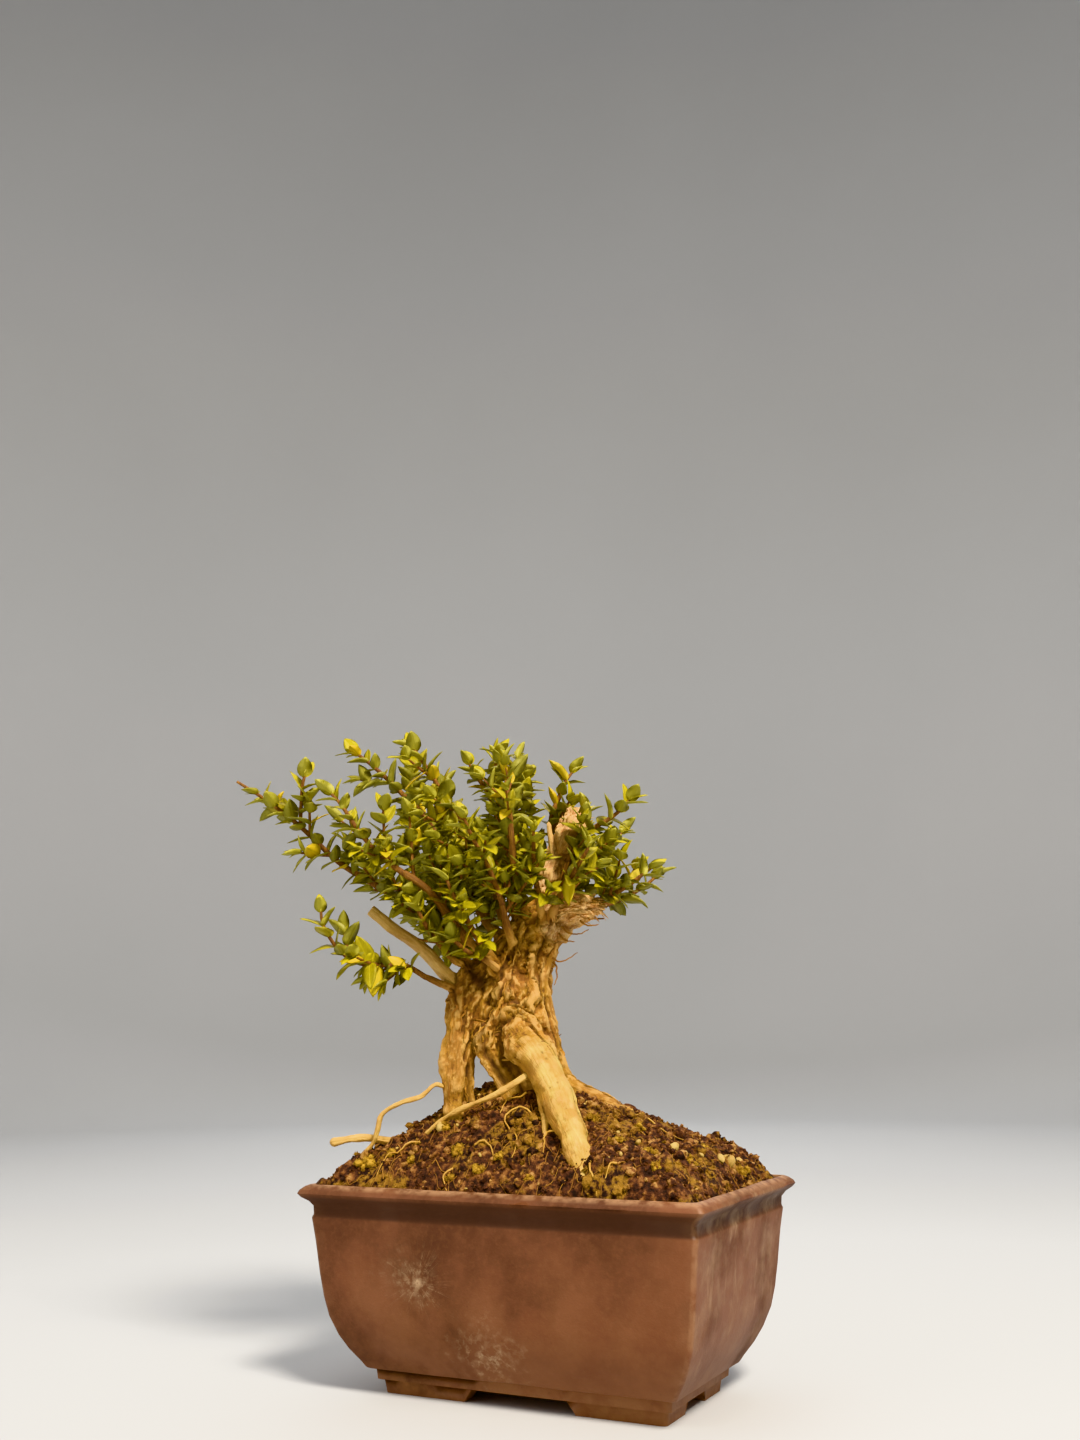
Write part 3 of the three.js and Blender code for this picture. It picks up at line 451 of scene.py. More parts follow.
def add_loft(
    draft: Draft, rings: Sequence[Array], peak: Array | None = None, slot: int = 0, **marks: float | Array
) -> None:
    """Adds a skin through rings of equally many points, closed at both ends.

    Args:
        draft: where it goes.
        rings: its rings from foot to end.
        peak: the point that closes the end, or nothing for the last ring's middle.
        slot: its material slot.
        **marks: the values of its marks.
    """
    n, last = len(rings[0]), (len(rings) - 1) * len(rings[0])
    peak = rings[-1].mean(axis=0) if peak is None else peak
    points = np.concatenate([*rings, [rings[0].mean(axis=0)], [peak]])
    faces: list[Face] = []
    for a in range(0, last, n):
        faces += [(a + i, a + (i + 1) % n, a + n + (i + 1) % n, a + n + i) for i in range(n)]
    faces += [(len(points) - 2, (i + 1) % n, i) for i in range(n)]
    faces += [(len(points) - 1, last + i, last + (i + 1) % n) for i in range(n)]
    draft.add(points, faces, slot, **marks)


class Tip(Enum):
    """How a tube ends."""

    FLAT = "flat"
    ROUND = "round"
    POINTED = "pointed"


def add_tube(
    draft: Draft,
    stem: Stem,
    sides: int,
    tip: Tip = Tip.ROUND,
    swell: Callable[[Array, float], Array] | None = None,
    slot: int = 0,
    squeeze: float = 1.0,
    **marks: float,
) -> None:
    """Adds a closed tube along a stem.

    Args:
        draft: where it goes.
        stem: its line and radii.
        sides: how many points each ring has.
        tip: how its far end is closed.
        swell: gives the radius as a share, by angle and by share of the length.
        slot: its material slot.
        squeeze: its thickness as a share of its width.
        **marks: the values of its marks.
    """
    _, us, vs = stem.frames()
    angles = np.arange(sides) * (2 * math.pi / sides)
    rings = []
    for j, (point, radius, u, v) in enumerate(zip(stem.points, stem.radii, us, vs)):
        share = j / (len(stem.points) - 1)
        reach = radius * (swell(angles, share) if swell else np.ones(sides))
        wide, thick = np.outer(reach * np.cos(angles), u), np.outer(reach * np.sin(angles), v)
        rings.append(point + wide + thick * squeeze)
    ahead, last, radius = stem.end_tangent(), rings[-1], float(stem.radii[-1])
    middle = last.mean(axis=0)
    peak = middle
    if tip is Tip.ROUND:
        rings += [middle + (last - middle) * k + ahead * radius * up for k, up in ((0.78, 0.5), (0.4, 0.82))]
        peak = middle + ahead * radius * 0.95
    elif tip is Tip.POINTED:
        peak = middle + ahead * radius * 3
    add_loft(draft, rings, peak, slot, **marks)


def arrays_of(piece: Object) -> tuple[Array, list[Face], Array]:
    """An object's points in the pot's frame in millimetres, its faces and its points' outward directions."""
    mesh = piece.data
    points = np.zeros(len(mesh.vertices) * 3, np.float32)
    mesh.vertices.foreach_get("co", points)
    outward = np.zeros(len(mesh.vertices) * 3, np.float32)
    mesh.vertex_normals.foreach_get("vector", outward)
    faces = [tuple(polygon.vertices) for polygon in mesh.polygons]
    return (points.reshape(-1, 3) - POT_AXIS) / MM, faces, outward.reshape(-1, 3).astype(float)


def modify(piece: Object, kind: str, **settings: Any) -> None:
    """Puts a modifier on an object."""
    modifier = piece.modifiers.new(kind.lower(), kind)
    for name, value in settings.items():
        setattr(modifier, name, value)


def apply_modifiers(piece: Object) -> None:
    """Replaces an object's mesh by what its modifiers make of it."""
    shaped = bpy.data.meshes.new_from_object(piece.evaluated_get(bpy.context.evaluated_depsgraph_get()))
    piece.modifiers.clear()
    old, piece.data = piece.data, shaped
    bpy.data.meshes.remove(old)


def remove(piece: Object) -> None:
    """Deletes a helper object and its mesh."""
    mesh = piece.data
    bpy.data.objects.remove(piece)
    bpy.data.meshes.remove(mesh)


def hand_over(piece: Object, slot: str, *nodes: str) -> Object:
    """Makes a finished piece part of the object.

    Args:
        piece: the piece, in place.
        slot: the record's material slot; not used.
        *nodes: the model's nodes that it stands for.

    Returns:
        The same piece.
    """
    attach(piece, BODY)
    if nodes:
        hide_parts(*nodes)
    triangles = sum(len(polygon.vertices) - 2 for polygon in piece.data.polygons)
    LOG.info("%s: %d triangles%s", piece.name, triangles, f", for {', '.join(nodes)}" if nodes else "")
    return piece


# Shader effects.

Tree = bpy.types.NodeTree
Socket = bpy.types.NodeSocket
Colour = tuple[float, float, float]
Inputs = dict[str, Any]


class Board:
    """A node tree while it is wired."""

    def __init__(self, tree: Tree, groups: dict[str, Tree] | None = None) -> None:
        """Starts on an empty tree, with the effect groups that it may place."""
        self.tree, self.groups = tree, groups or {}
        tree.nodes.clear()

    def feed(self, socket: Socket, value: Any) -> None:
        """Links a socket into another, or sets a plain value on it."""
        if isinstance(value, Socket):
            self.tree.links.new(value, socket)
        elif isinstance(value, tuple) and len(value) == 3 and socket.type == "RGBA":
            socket.default_value = (*value, 1.0)
        else:
            socket.default_value = value

    def add(self, kind: str, inputs: dict[str | int, Any] | None = None, **settings: Any) -> bpy.types.Node:
        """Adds a node.

        Args:
            kind: the node's type without its "ShaderNode" start.
            inputs: values or sockets for its inputs, by name or number.
            **settings: its own properties.

        Returns:
            The new node.
        """
        node = self.tree.nodes.new("ShaderNode" + kind)
        for key, value in settings.items():
            setattr(node, key, value)
        for key, value in (inputs or {}).items():
            self.feed(node.inputs[key], value)
        return node

    def mark(self, name: str) -> Socket:
        """A value that the mesh carries."""
        return self.add("Attribute", attribute_name=name).outputs["Fac"]

    def axis(self, vector: Socket, name: str) -> Socket:
        """One of a vector's X, Y and Z."""
        return self.add("SeparateXYZ", {0: vector}).outputs[name]

    def calc(self, operation: str, a: Any, b: Any = 0.0, clamp: bool = False) -> Socket:
        """What an operation makes of one or two numbers."""
        return self.add("Math", {0: a, 1: b}, operation=operation, use_clamp=clamp).outputs[0]

    def times(self, a: Any, b: Any) -> Socket:
        """A product, kept between 0 and 1."""
        return self.calc("MULTIPLY", a, b, clamp=True)

    def plus(self, a: Any, b: Any) -> Socket:
        """A sum, kept between 0 and 1."""
        return self.calc("ADD", a, b, clamp=True)

    def off_middle(self, value: Any) -> Socket:
        """How far a value lies from a half."""
        return self.calc("ABSOLUTE", self.calc("SUBTRACT", value, 0.5))

    def span(self, value: Any, low: Any, high: Any, to_low: float = 0.0, to_high: float = 1.0) -> Socket:
        """A value moved softly from one range to another."""
        inputs = {"Value": value, "From Min": low, "From Max": high, "To Min": to_low, "To Max": to_high}
        return self.add("MapRange", inputs, interpolation_type="SMOOTHSTEP").outputs["Result"]

    def over(self, colour: Any, other: Any, share: Any, most: float | None = None) -> Socket:
        """A colour with another laid over it by a share, which is scaled by a most where one is given."""
        share = share if most is None else self.times(share, most)
        return self.add("Mix", {0: share, 6: colour, 7: other}, data_type="RGBA").outputs[2]

    def noise(self, place: Socket, scale: Any, detail: Any, rough: float = 0.5) -> Socket:
        """Plain cloudy noise."""
        inputs = {"Vector": place, "Scale": scale, "Detail": detail, "Roughness": rough}
        return self.add("TexNoise", inputs).outputs["Fac"]

    def start(self) -> None:
        """Finds the place in the object's own space, which every effect reads unless it is told another."""
        self.place = self.add("TexCoord").outputs["Object"]

    def effect(self, name: str, *values: Any, at: Socket | None = None) -> Socket:
        """What an effect group gives for values of its inputs, in the order of Effects.INPUTS."""
        node = self.tree.nodes.new("ShaderNodeGroup")
        node.node_tree = self.groups[name]
        for socket, value in zip(node.inputs, (at or self.place, *values), strict=True):
            self.feed(socket, value)
        return node.outputs[0]

    def bump(self, height: Socket, depth: float, strength: float = 1.0) -> Socket:
        """The normal of a surface with a height pressed into it, depth in millimetres."""
        inputs = {"Height": height, "Distance": depth * MM, "Strength": strength}
        return self.add("Bump", inputs).outputs["Normal"]

    def toothed(self, colour: Socket, coarse: float, fine: float, share: float, depth: float) -> Inputs:
        """A colour with a relief's normal, as inputs of the shader.

        Args:
            colour: the colour.
            coarse: the scale of the relief's swellings.
            fine: the scale of its tooth.
            share: how much of it is tooth.
            depth: its depth in millimetres.

        Returns:
            The inputs by name.
        """
        tooth = self.effect("relief", coarse, fine, share)
        return {"Base Color": colour, "Normal": self.bump(tooth, depth)}


class Effects:
    """The shader node groups that several finishes share, by name, each built once."""

    INPUTS = {
        "mottling": ("Vector", "Scale", "Detail", "Low", "High"),
        "specks": ("Vector", "Scale", "Size", "Share"),
        "streaks": ("Vector", "Scale", "Stretch", "Low", "High"),
        "relief": ("Vector", "Coarse", "Fine", "Fine Share"),
        "patch": ("Vector", "Centre", "Radius", "Ragged"),
        "burst": ("Vector", "Centre", "Radius", "Rays"),
        "branching": ("Vector", "Scale", "Width"),
    }

    def __init__(self) -> None:
        """Builds each group from the method of its name."""
        self.groups: dict[str, Tree] = {}
        for name, inputs in self.INPUTS.items():
            tree = bpy.data.node_groups.new(name, "ShaderNodeTree")
            board = Board(tree)
            for key in inputs:
                kind = "NodeSocketVector" if key in ("Vector", "Centre") else "NodeSocketFloat"
                tree.interface.new_socket(key, in_out="INPUT", socket_type=kind)
            output = "Height" if name == "relief" else "Mask"
            tree.interface.new_socket(output, in_out="OUTPUT", socket_type="NodeSocketFloat")
            given = tree.nodes.new("NodeGroupInput").outputs[: len(inputs)]
            board.feed(tree.nodes.new("NodeGroupOutput").inputs[0], getattr(self, name)(board, *given))
            self.groups[name] = tree

    @staticmethod
    def mottling(
        board: Board, at: Socket, scale: Socket, detail: Socket, low: Socket, high: Socket
    ) -> Socket:
        """Soft uneven cloudiness as a mask."""
        return board.span(board.noise(at, scale, detail, 0.6), low, high)

    @staticmethod
    def specks(board: Board, place: Socket, scale: Socket, size: Socket, share: Socket) -> Socket:
        """Small scattered dots of uneven size as a mask."""
        cells = board.add("TexVoronoi", {"Vector": place, "Scale": scale}).outputs
        hue = board.add("SeparateColor", {0: cells["Color"]}).outputs
        dot = board.span(cells["Distance"], board.calc("MULTIPLY", size, hue["Red"]), 0.0)
        return board.times(dot, board.calc("LESS_THAN", hue["Green"], share))

    @staticmethod
    def streaks(
        board: Board, at: Socket, scale: Socket, stretch: Socket, low: Socket, high: Socket
    ) -> Socket:
        """Marks drawn out along the third axis of the vector, as a mask."""
        part = board.add("SeparateXYZ", {0: at}).outputs
        slow = board.calc("DIVIDE", part["Z"], stretch)
        drawn = board.add("CombineXYZ", {"X": part["X"], "Y": part["Y"], "Z": slow}).outputs[0]
        return board.span(board.noise(drawn, scale, 4.0, 0.65), low, high)

    @staticmethod
    def relief(board: Board, place: Socket, coarse: Socket, fine: Socket, fine_share: Socket) -> Socket:
        """A height with coarse swellings and a fine tooth."""
        inputs = {0: fine_share, 2: board.noise(place, coarse, 3.0), 3: board.noise(place, fine, 2.0)}
        return board.add("Mix", inputs, data_type="FLOAT").outputs[0]

    @staticmethod
    def patch(board: Board, place: Socket, centre: Socket, radius: Socket, ragged: Socket) -> Socket:
        """One ragged patch round a point, as a mask."""
        away = board.add("VectorMath", {0: place, 1: centre}, operation="DISTANCE").outputs["Value"]
        torn = board.calc("MULTIPLY", board.noise(place, 260.0, 5.0, 0.7), ragged)
        return board.span(board.calc("ADD", board.calc("DIVIDE", away, radius), torn), 1.1, 0.35)

    @staticmethod
    def burst(board: Board, place: Socket, centre: Socket, radius: Socket, rays: Socket) -> Socket:
        """A scuffed spot with fine rays that run out from it, as a mask."""
        away = board.add("VectorMath", {0: place, 1: centre}, operation="SUBTRACT").outputs[0]
        heading = board.add("VectorMath", {0: away}, operation="NORMALIZE").outputs[0]
        length = board.add("VectorMath", {0: away}, operation="LENGTH").outputs["Value"]
        share = board.calc("DIVIDE", length, radius)
        grit = board.noise(place, 420.0, 6.0, 0.7)
        off = board.off_middle(board.noise(heading, rays, 5.0, 0.8))
        ray = board.times(board.span(off, 0.016, 0.0), board.span(share, 1.0, 0.1, 0.0, 0.7))
        ray = board.times(ray, board.span(grit, 0.40, 0.62))
        glow = board.times(board.span(share, 0.6, 0.0, 0.0, 0.5), board.span(grit, 0.40, 0.66))
        core = board.times(board.span(share, 0.17, 0.02), board.span(grit, 0.34, 0.54, 0.15, 1.0))
        return board.calc("MAXIMUM", board.plus(ray, glow), core, clamp=True)

    @staticmethod
    def branching(board: Board, place: Socket, scale: Socket, width: Socket) -> Socket:
        """Thin wandering lines as a mask."""
        return board.span(board.off_middle(board.noise(place, scale, 5.0, 0.62)), width, 0.0)


@dataclass(frozen=True)
class Finish:
    """A surface finish: its name and how rough it is."""

    name: str
    rough: float

    def paint(self, board: Board) -> Inputs:
        """What goes into the shader's inputs, by name."""
        raise NotImplementedError

    def make(self, effects: Effects) -> Material:
        """The material: one plain shader with what the finish paints fed into it."""
        material = bpy.data.materials.new(self.name)
        material.use_nodes = True
        board = Board(material.node_tree, effects.groups)
        shader = board.add("BsdfPrincipled", {"Roughness": self.rough})
        board.feed(board.add("OutputMaterial").inputs["Surface"], shader.outputs["BSDF"])
        board.start()
        for name, value in self.paint(board).items():
            board.feed(shader.inputs[name], value)
        return material


@dataclass(frozen=True)
class ClayFinish(Finish):
    """Matt dark reddish-brown pot: a scuffed rim whose top edge is partly a painted highlight, a painted
    shadow under the lip with some grime, a dusty bottom, lime marks and stained feet.
    """

    lip_shadow_grime: Colour = (0.060, 0.023, 0.012)
    dark: Colour = (0.082, 0.029, 0.014)
    body: Colour = (0.172, 0.062, 0.027)
    dusty: Colour = (0.24, 0.102, 0.046)
    scuff_and_sheen: Colour = (0.36, 0.20, 0.105)
    lime: Colour = (0.52, 0.36, 0.21)
    stain: Colour = (0.26, 0.122, 0.055)

    def paint(self, board: Board) -> Inputs:
        """What goes into the shader's inputs."""
        height = board.axis(board.place, "Z")
        broad = board.effect("mottling", 21, 6, 0.34, 0.60)
        colour = board.over(self.dark, self.body, broad)
        low_dust = board.span(height, 0.052, 0.020, 0.12, 0.62)
        cloud = board.effect("mottling", 48, 8, 0.38, 0.70)
        colour = board.over(colour, self.dusty, board.times(cloud, low_dust))
        grain = board.effect("mottling", 520, 5, 0.44, 0.74)
        colour = board.over(colour, self.dusty, grain, 0.22)
        colour = board.over(colour, self.dark, board.effect("specks", 430, 0.3, 0.16), 0.4)
        # Painted shadow under the lip, with some grime: a dark band from about 60 to 68.5 mm up.
        under = board.times(board.span(height, 0.0600, 0.0612), board.span(height, 0.0685, 0.0670))
        colour = board.over(colour, self.lip_shadow_grime, under, 0.85)
        colour = board.over(colour, self.lime, self.lime_mask(board, height))
        # Worn corners and feet, and a lighter top edge of the rim that is partly wear and partly a painted
        # highlight.
        scuff = board.effect("mottling", 210, 6, 0.34, 0.64)
        colour = board.over(colour, self.scuff_and_sheen, board.times(scuff, board.mark("wear")))
        damp = board.effect("mottling", 120, 5, 0.34, 0.66)
        colour = board.over(colour, self.stain, board.times(board.span(height, 0.013, 0.003), damp))
        rough = board.span(broad, 0, 1, self.rough + 0.08, self.rough - 0.1)
        tooth = board.effect("relief", 120, 1400, 0.35)
        return {"Base Color": colour, "Roughness": rough, "Normal": board.bump(tooth, 0.35, 0.7)}

    @staticmethod
    def lime_mask(board: Board, height: Socket) -> Socket:
        """Where lime dried: a scratch, crazed streaks low down, and runs on the right-hand wall."""
        x, y = POT_AXIS[0], POT_AXIS[1]
        scratch = board.effect("burst", (x - 0.030, y - 0.0437, 0.0408), 0.017, 3)
        smudge = board.effect("patch", (x - 0.038, y - 0.0437, 0.0440), 0.024, 1.2)
        bottom = board.effect("patch", (x - 0.005, y - 0.038, 0.0175), 0.036, 1.1)
        veins = board.effect("branching", 72, 0.022)
        dust = board.effect("mottling", 330, 6, 0.44, 0.70)
        crazed = board.plus(board.times(veins, 0.38), board.times(dust, 0.5))
        runs = board.effect("streaks", 230, 6, 0.56, 0.74)
        wall = board.span(board.axis(board.add("TexCoord").outputs["Normal"], "X"), 0.6, 0.9)
        film = board.effect("mottling", 90, 7, 0.40, 0.72)
        runs = board.plus(board.times(runs, 0.30), board.times(film, 0.26))
        runs = board.times(board.times(runs, wall), board.span(height, 0.012, 0.05, 0.35, 1))
        dry = board.plus(board.times(scratch, 0.75), board.times(bottom, crazed))
        dry = board.plus(dry, board.times(smudge, board.span(dust, 0, 1, 0.06, 0.30)))
        return board.plus(dry, runs)


@dataclass(frozen=True)
class SoilFinish(Finish):
    """Dark crumbly peat with reddish and mossy crumbs, drier and lighter where its mark "kind" is high. On
    the mound the mark is low in the hollows between clods, which paints shade there.
    """

    wet_and_hollow_shade: Colour = (0.016, 0.006, 0.004)
    peat: Colour = (0.075, 0.026, 0.013)
    red: Colour = (0.235, 0.098, 0.032)
    dry: Colour = (0.43, 0.245, 0.082)
    mossy: Colour = (0.30, 0.165, 0.022)

    def paint(self, board: Board) -> Inputs:
        """What goes into the shader's inputs."""
        cloud = board.effect("mottling", 420, 6, 0.34, 0.66)
        uneven = board.calc("ADD", cloud, board.mark("kind"))
        colour = board.over(self.wet_and_hollow_shade, self.peat, board.span(uneven, 0.15, 0.85))
        colour = board.over(colour, self.red, board.span(uneven, 0.75, 1.35))
        colour = board.over(colour, self.dry, board.span(uneven, 1.15, 1.6), 0.8)
        green = board.effect("mottling", 75, 6, 0.50, 0.60)
        film = board.times(green, board.span(uneven, 0.4, 1.1, 0, 0.75))
        return board.toothed(board.over(colour, self.mossy, film), 520, 2000, 0.45, 1.1)


@dataclass(frozen=True)
class MossFinish(Finish):
    """Yellow-brown moss, browner where its mark "kind" is low."""

    brown: Colour = (0.20, 0.092, 0.022)
    green: Colour = (0.27, 0.150, 0.020)
    bright: Colour = (0.52, 0.315, 0.048)

    def paint(self, board: Board) -> Inputs:
        """What goes into the shader's inputs."""
        colour = board.over(self.green, self.bright, board.effect("mottling", 520, 5, 0.38, 0.64))
        colour = board.over(colour, self.brown, board.span(board.mark("kind"), 0.6, 0.1))
        return board.toothed(colour, 900, 2600, 0.5, 0.7)


@dataclass(frozen=True)
class CloudyFinish(Finish):
    """One colour with clouds of another, and dots of a third and a fine tooth where they are given.

    The clouds are a mottling's scale, detail, low and high, and the tooth is
    a relief's coarse, fine and fine share.
    """

    base: Colour
    cloud: Colour
    clouds: tuple[float, float, float, float]
    tooth: Place | None = None
    depth: float = 0
    dots: Colour | None = None

    def paint(self, board: Board) -> Inputs:
        """What goes into the shader's inputs."""
        colour = board.over(self.base, self.cloud, board.effect("mottling", *self.clouds))
        if self.dots:
            colour = board.over(colour, self.dots, board.effect("specks", 900, 0.4, 0.3), 0.6)
        return board.toothed(colour, *self.tooth, self.depth) if self.tooth else {"Base Color": colour}


@dataclass(frozen=True)
class BarkFinish(Finish):
    """Wood of the old plant: fissured bark, pale bare legs and roots, torn deadwood and thin twigs.

    The mesh marks how far each place is pale, torn, thin and fissured, how
    far it stands out from or lies behind its surroundings, and where it lies
    round and along its stem. The pale mark is partly painted light, and the
    marks of standing out and of fissures carry painted highlights on ridges
    and painted shade in crevices and hollows.
    """

    tan: Colour = (0.50, 0.245, 0.046)
    ochre: Colour = (0.37, 0.195, 0.027)
    russet: Colour = (0.33, 0.135, 0.036)
    brown: Colour = (0.175, 0.068, 0.020)
    crack: Colour = (0.048, 0.018, 0.008)
    highlight_cream: Colour = (0.80, 0.50, 0.165)
    bare: Colour = (0.50, 0.270, 0.042)
    bare_light: Colour = (0.84, 0.64, 0.185)
    raw: Colour = (0.62, 0.33, 0.135)
    dead: Colour = (0.93, 0.66, 0.33)
    twig: Colour = (0.165, 0.070, 0.026)

    def paint(self, board: Board) -> Inputs:
        """What goes into the shader's inputs."""
        along = board.add("Attribute", attribute_name="grain_at").outputs["Vector"]
        pale, painted_shading = board.mark("pale"), board.mark("crest")
        cloud = board.effect("mottling", 150, 5, 0.38, 0.62)
        patches = board.effect("mottling", 85, 6, 0.44, 0.60)
        fine = board.effect("mottling", 620, 4, 0.36, 0.66)
        strings = board.effect("streaks", 1.1, 7, 0.38, 0.66, at=along)
        rough = board.over(self.ochre, self.tan, cloud)
        rough = board.over(rough, self.russet, patches, 0.7)
        rough = board.over(rough, self.brown, fine, 0.35)
        # The pale mark is partly painted light: higher on the side of the wood that the light falls on.
        sunlit = board.times(board.span(pale, 0.42, 1), board.span(cloud, 0, 1, 0.35, 1))
        smooth = board.over(self.bare, self.bare_light, sunlit)
        smooth = board.over(smooth, self.tan, strings, 0.5)
        smooth = board.over(smooth, self.russet, patches, 0.22)
        smooth = board.over(smooth, self.brown, board.effect("specks", 430, 0.42, 0.16), 0.7)
        colour = board.over(rough, smooth, pale)
        splinter = board.effect("streaks", 2, 6, 0.42, 0.64, at=along)
        colour = board.over(colour, board.over(self.raw, self.dead, splinter), board.mark("torn"))
        colour = board.over(colour, board.over(self.twig, self.tan, strings, 0.5), board.mark("thin"))
        # Painted highlight on ridges and painted shade in crevices, read from the relief shading mark; on
        # flakes and loose strips that mark is a random tone.
        colour = board.over(colour, self.highlight_cream, board.span(painted_shading, 0.15, 1), 0.5)
        colour = board.over(colour, self.brown, board.span(painted_shading, -0.1, -0.9), 0.65)
        # Dark cracks, with painted shade in the hollows that the carvings darken.
        colour = board.over(colour, self.crack, board.mark("fissure"), 0.85)
        tooth = board.effect("relief", 420, 1700, 0.35)
        height = board.calc("ADD", tooth, board.times(strings, 0.6))
        shine = board.span(pale, 0, 1, self.rough, self.rough - 0.22)
        return {"Base Color": colour, "Roughness": shine, "Normal": board.bump(height, 0.5, 0.9)}


@dataclass(frozen=True)
class LeafFinish(Finish):
    """Small glossy honeysuckle leaf, coloured by the marks "age" and "tint" and veined on its map."""

    old: Colour = (0.135, 0.108, 0.006)
    grown: Colour = (0.28, 0.235, 0.009)
    young: Colour = (0.48, 0.405, 0.018)
    yellow: Colour = (0.62, 0.44, 0.030)
    dry: Colour = (0.22, 0.10, 0.022)

    def paint(self, board: Board) -> Inputs:
        """What goes into the shader's inputs."""
        age, tint = board.mark("age"), board.mark("tint")
        colour = board.over(self.young, self.grown, board.span(age, 0, 0.5))
        colour = board.over(colour, self.old, board.span(age, 0.45, 1))
        cloud = board.effect("mottling", 420, 4, 0.38, 0.66)
        colour = board.over(colour, self.young, cloud, 0.35)
        colour = board.over(colour, self.yellow, board.span(tint, 0.88, 0.97))
        colour = board.over(colour, self.dry, board.effect("specks", 420, 0.3, 0.1), 0.7)
        blade = board.add("UVMap", uv_map="blade").outputs["UV"]
        off = board.off_middle(board.axis(blade, "Y"))
        slant = board.calc("SUBTRACT", board.axis(blade, "X"), board.calc("MULTIPLY", off, 0.9))
        waves = board.calc("SINE", board.calc("MULTIPLY", slant, 44))
        ribs = board.span(waves, 0.72, 0.98, 0, 0.45)
        veins = board.calc("MAXIMUM", board.span(off, 0.07, 0.02), ribs, clamp=True)
        colour = board.over(colour, self.young, veins, 0.35)
        rim = board.times(board.span(off, 0.44, 0.5), board.span(tint, 0.55, 0.8))
        dip = board.bump(board.calc("SUBTRACT", 1, veins), 0.12, 0.7)
        gloss = {"Specular IOR Level": 0.35, "Coat Weight": 0.04, "Coat Roughness": 0.3}
        return {"Base Color": board.over(colour, self.dry, rim, 0.6), "Normal": dip, **gloss}


class Finishes:
    """Every material of the object, made once."""

    def __init__(self) -> None:
        """Makes the materials."""
        effects = Effects()
        self.clay = ClayFinish("pot_clay", 0.66).make(effects)
        self.soil = SoilFinish("peat", 0.92).make(effects)
        self.moss = MossFinish("moss", 0.9).make(effects)
        self.pebble = CloudyFinish(
            "grit", 0.7, (0.56, 0.40, 0.13), (0.40, 0.24, 0.06), (300.0, 5.0, 0.35, 0.65),
            (500.0, 2400.0, 0.4), 0.3, (0.12, 0.06, 0.03),
        ).make(effects)
        self.bark = BarkFinish("bark", 0.82).make(effects)
        self.leaf = LeafFinish("leaf", 0.48).make(effects)
        under = {"old": (0.19, 0.18, 0.035), "grown": (0.27, 0.25, 0.04), "young": (0.40, 0.37, 0.06)}
        self.leaf_under = LeafFinish("leaf_underside", 0.6, **under).make(effects)
        self.mesh = CloudyFinish(
            "drainage_mesh", 0.55, (0.018, 0.018, 0.017), (0.10, 0.06, 0.035), (260.0, 5.0, 0.42, 0.68),
            (600.0, 2500.0, 0.5), 0.15,
        ).make(effects)
        self.studio = CloudyFinish(
            "studio", 0.9, (0.60, 0.61, 0.625), (0.57, 0.58, 0.595), (1.2, 2.0, 0.2, 0.8)
        ).make(effects)


# Pot.


def rounded_outline(
    half_x: float, half_y: float, radius: float, corner_steps: int, side_steps: tuple[int, int]
) -> Array:
    """A rectangle with round corners, as points counter-clockwise in X and Y.

    Args:
        half_x: half its size along X.
        half_y: half its size along Y.
        radius: its corners' radius.
        corner_steps: how many spans each corner has.
        side_steps: how many spans a side along X and a side along Y have.

    Returns:
        The points.
    """
    points = []
    for corner in range(4):
        sx = 1 if corner in (0, 3) else -1
        sy = 1 if corner < 2 else -1
        for i in range(corner_steps + 1):
            angle = (corner + i / corner_steps) * math.pi / 2
            x = sx * (half_x - radius) + radius * math.cos(angle)
            points.append((x, sy * (half_y - radius) + radius * math.sin(angle)))
        steps = side_steps[corner % 2]
        along = np.array([0, -sy]) if corner % 2 else np.array([-sx, 0])
        reach = 2 * ((half_y if corner % 2 else half_x) - radius)
        start = np.array(points[-1])
        points += [tuple(start + along * reach * i / steps) for i in range(1, steps)]
    return np.array(points)


